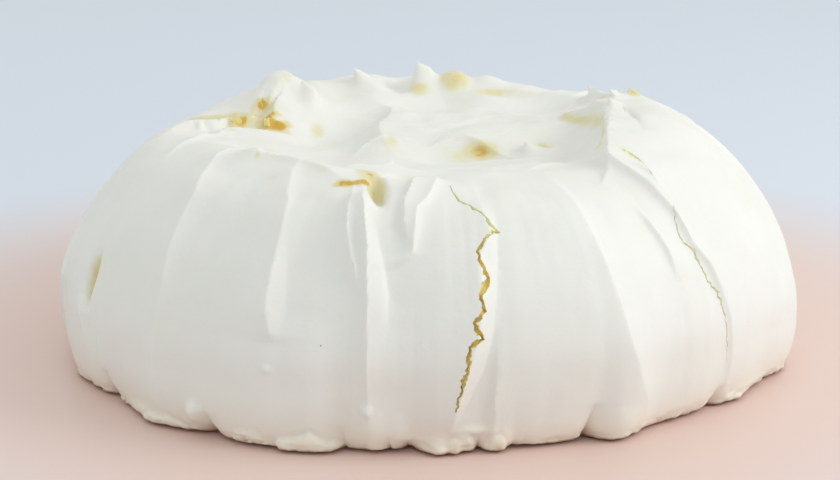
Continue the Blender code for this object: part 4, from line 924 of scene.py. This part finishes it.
class PavlovaStageSettings(bpy.types.PropertyGroup):
    """The floor, the light and the camera."""

    floor_colour: colour_setting("Floor", "Pale floor near the pavlova", (0.79, 0.61, 0.56))
    far_colour: colour_setting("Far floor", "Pale floor further off", (0.69, 0.74, 0.845))
    sky_colour: colour_setting("Sky", "Soft light from all round", (0.97, 1.0, 0.975))
    sky_strength: bpy.props.FloatProperty(
        name="Sky strength", description="Brightness of the soft light", default=0.84, min=0)
    key_power: bpy.props.FloatProperty(
        name="Key power", description="Power of the main light", default=3.65, min=0, unit="POWER")
    camera_place: bpy.props.FloatVectorProperty(
        name="Camera", description="Where the camera stands", subtype="TRANSLATION", unit="LENGTH",
        default=(-0.003, -0.608, 0.197))
    camera_pitch: bpy.props.FloatProperty(
        name="Camera pitch", description="How far the camera looks down", subtype="ANGLE", default=math.radians(15.3))
    lens: bpy.props.FloatProperty(name="Lens", description="Focal length", default=85.0, min=1, unit="CAMERA")


class PAVLOVA_OT_meringue(bpy.types.Operator):
    """Models the meringue round with its ridges, peaks, cracks and foot"""

    bl_idname = "pavlova.meringue"
    bl_label = "Add Meringue"

    def execute(self, context):
        settings = context.scene.pavlova_meringue
        crust, crumb = crust_material(settings), crumb_material(settings)
        meringue = spin_round("meringue_round")
        set_points(meringue.data, sculpt(get_points(meringue.data), fine=True))
        meringue.data.materials.append(crust)
        triangles = sum(len(face.vertices) - 2 for face in meringue.data.polygons)
        modify(meringue, "thin_out", "DECIMATE", ratio=FINE_TRIANGLES / triangles)
        cutters = crack_cutters(crumb)
        gathered = bpy.data.collections.new("crack_cutters")
        for cutter in cutters:
            gathered.objects.link(cutter)
        modify(meringue, "cracks", "BOOLEAN", operation="DIFFERENCE", operand_type="COLLECTION", collection=gathered,
               solver="MANIFOLD", material_mode="TRANSFER")
        for cutter in cutters:
            bpy.data.objects.remove(cutter)
        bpy.data.collections.remove(gathered)
        paint_attributes(meringue.data)
        centre(meringue.data)
        select_only(meringue)
        bpy.ops.object.shade_smooth_by_angle(angle=SMOOTH_BELOW)
        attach(meringue, "root")
        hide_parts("meringue")
        return {"FINISHED"}


def floor_material(settings):
    """A plain pale floor whose tint turns cooler further off."""
    sheet = NodeSheet("pale_floor")
    where = sheet.add("ShaderNodeTexCoord").outputs["Object"]
    away = sheet.add("ShaderNodeVectorMath", {"operation": "LENGTH"})
    sheet.put(away.inputs[0], where)
    tint = sheet.mix(sheet.ramp(away.outputs["Value"], 0.13, 0.26), (*settings.floor_colour, 1),
                     (*settings.far_colour, 1))
    return sheet.finish(Base_Color=tint, Roughness=0.45, Specular_IOR_Level=0.3)


# The floor's width, and the main light's width, place, aim and colour, in metres.
FLOOR_SIZE, KEY_SIZE = 8, 0.5
KEY_PLACE, KEY_AIM, KEY_COLOUR = (0.85, -0.24, 0.56), (0, 0, 0.03), (1.0, 0.99, 0.965)


class PAVLOVA_OT_stage(bpy.types.Operator):
    """Lays the pale floor and sets the soft light and the camera"""

    bl_idname = "pavlova.stage"
    bl_label = "Set Stage"

    def execute(self, context):
        settings = context.scene.pavlova_stage
        deselect()
        bpy.ops.mesh.primitive_plane_add(size=FLOOR_SIZE, location=(0, 0, 0))
        floor = context.object
        floor.name = "floor"
        floor.data.materials.append(floor_material(settings))
        world = bpy.data.worlds.new("soft_room")
        world.use_nodes = True
        sky = world.node_tree.nodes["Background"]
        sky.inputs["Color"].default_value = (*settings.sky_colour, 1)
        sky.inputs["Strength"].default_value = settings.sky_strength
        context.scene.world = world
        bpy.ops.object.light_add(type="AREA", location=KEY_PLACE)
        key = context.object
        key.name = "key_light"
        key.data.size = KEY_SIZE
        key.data.energy = settings.key_power
        key.data.color = KEY_COLOUR
        key.rotation_euler = (Vector(KEY_AIM) - key.location).to_track_quat("-Z", "Y").to_euler()
        bpy.ops.object.camera_add(location=settings.camera_place)
        camera = context.object
        camera.name = "camera"
        camera.rotation_euler = (math.radians(90) - settings.camera_pitch, 0, 0)
        camera.data.lens = settings.lens
        camera.data.sensor_width = 36
        context.scene.camera = camera
        context.scene.view_settings.view_transform = "Standard"
        return {"FINISHED"}


class PAVLOVA_PT_tools(bpy.types.Panel):
    """Lists the pavlova's pieces and its stage"""

    bl_label = "Pavlova"
    bl_idname = "PAVLOVA_PT_tools"
    bl_space_type = "VIEW_3D"
    bl_region_type = "UI"
    bl_category = "Pavlova"

    def draw(self, context):
        column = self.layout.column()
        column.operator("pavlova.meringue")
        column.operator("pavlova.stage")
        for settings in (context.scene.pavlova_meringue, context.scene.pavlova_stage):
            for name in settings.bl_rna.properties.keys():
                if name not in {"rna_type", "name"}:
                    column.prop(settings, name)


CLASSES = (PavlovaMeringueSettings, PavlovaStageSettings, PAVLOVA_OT_meringue, PAVLOVA_OT_stage, PAVLOVA_PT_tools)


def register():
    for cls in CLASSES:
        bpy.utils.register_class(cls)
    bpy.types.Scene.pavlova_meringue = bpy.props.PointerProperty(type=PavlovaMeringueSettings)
    bpy.types.Scene.pavlova_stage = bpy.props.PointerProperty(type=PavlovaStageSettings)


def unregister():
    del bpy.types.Scene.pavlova_stage
    del bpy.types.Scene.pavlova_meringue
    for cls in reversed(CLASSES):
        bpy.utils.unregister_class(cls)


def main():
    """Makes the pavlova and its stage."""
    register()
    bpy.ops.pavlova.meringue()
    bpy.ops.pavlova.stage()


if __name__ == "__main__":
    main()
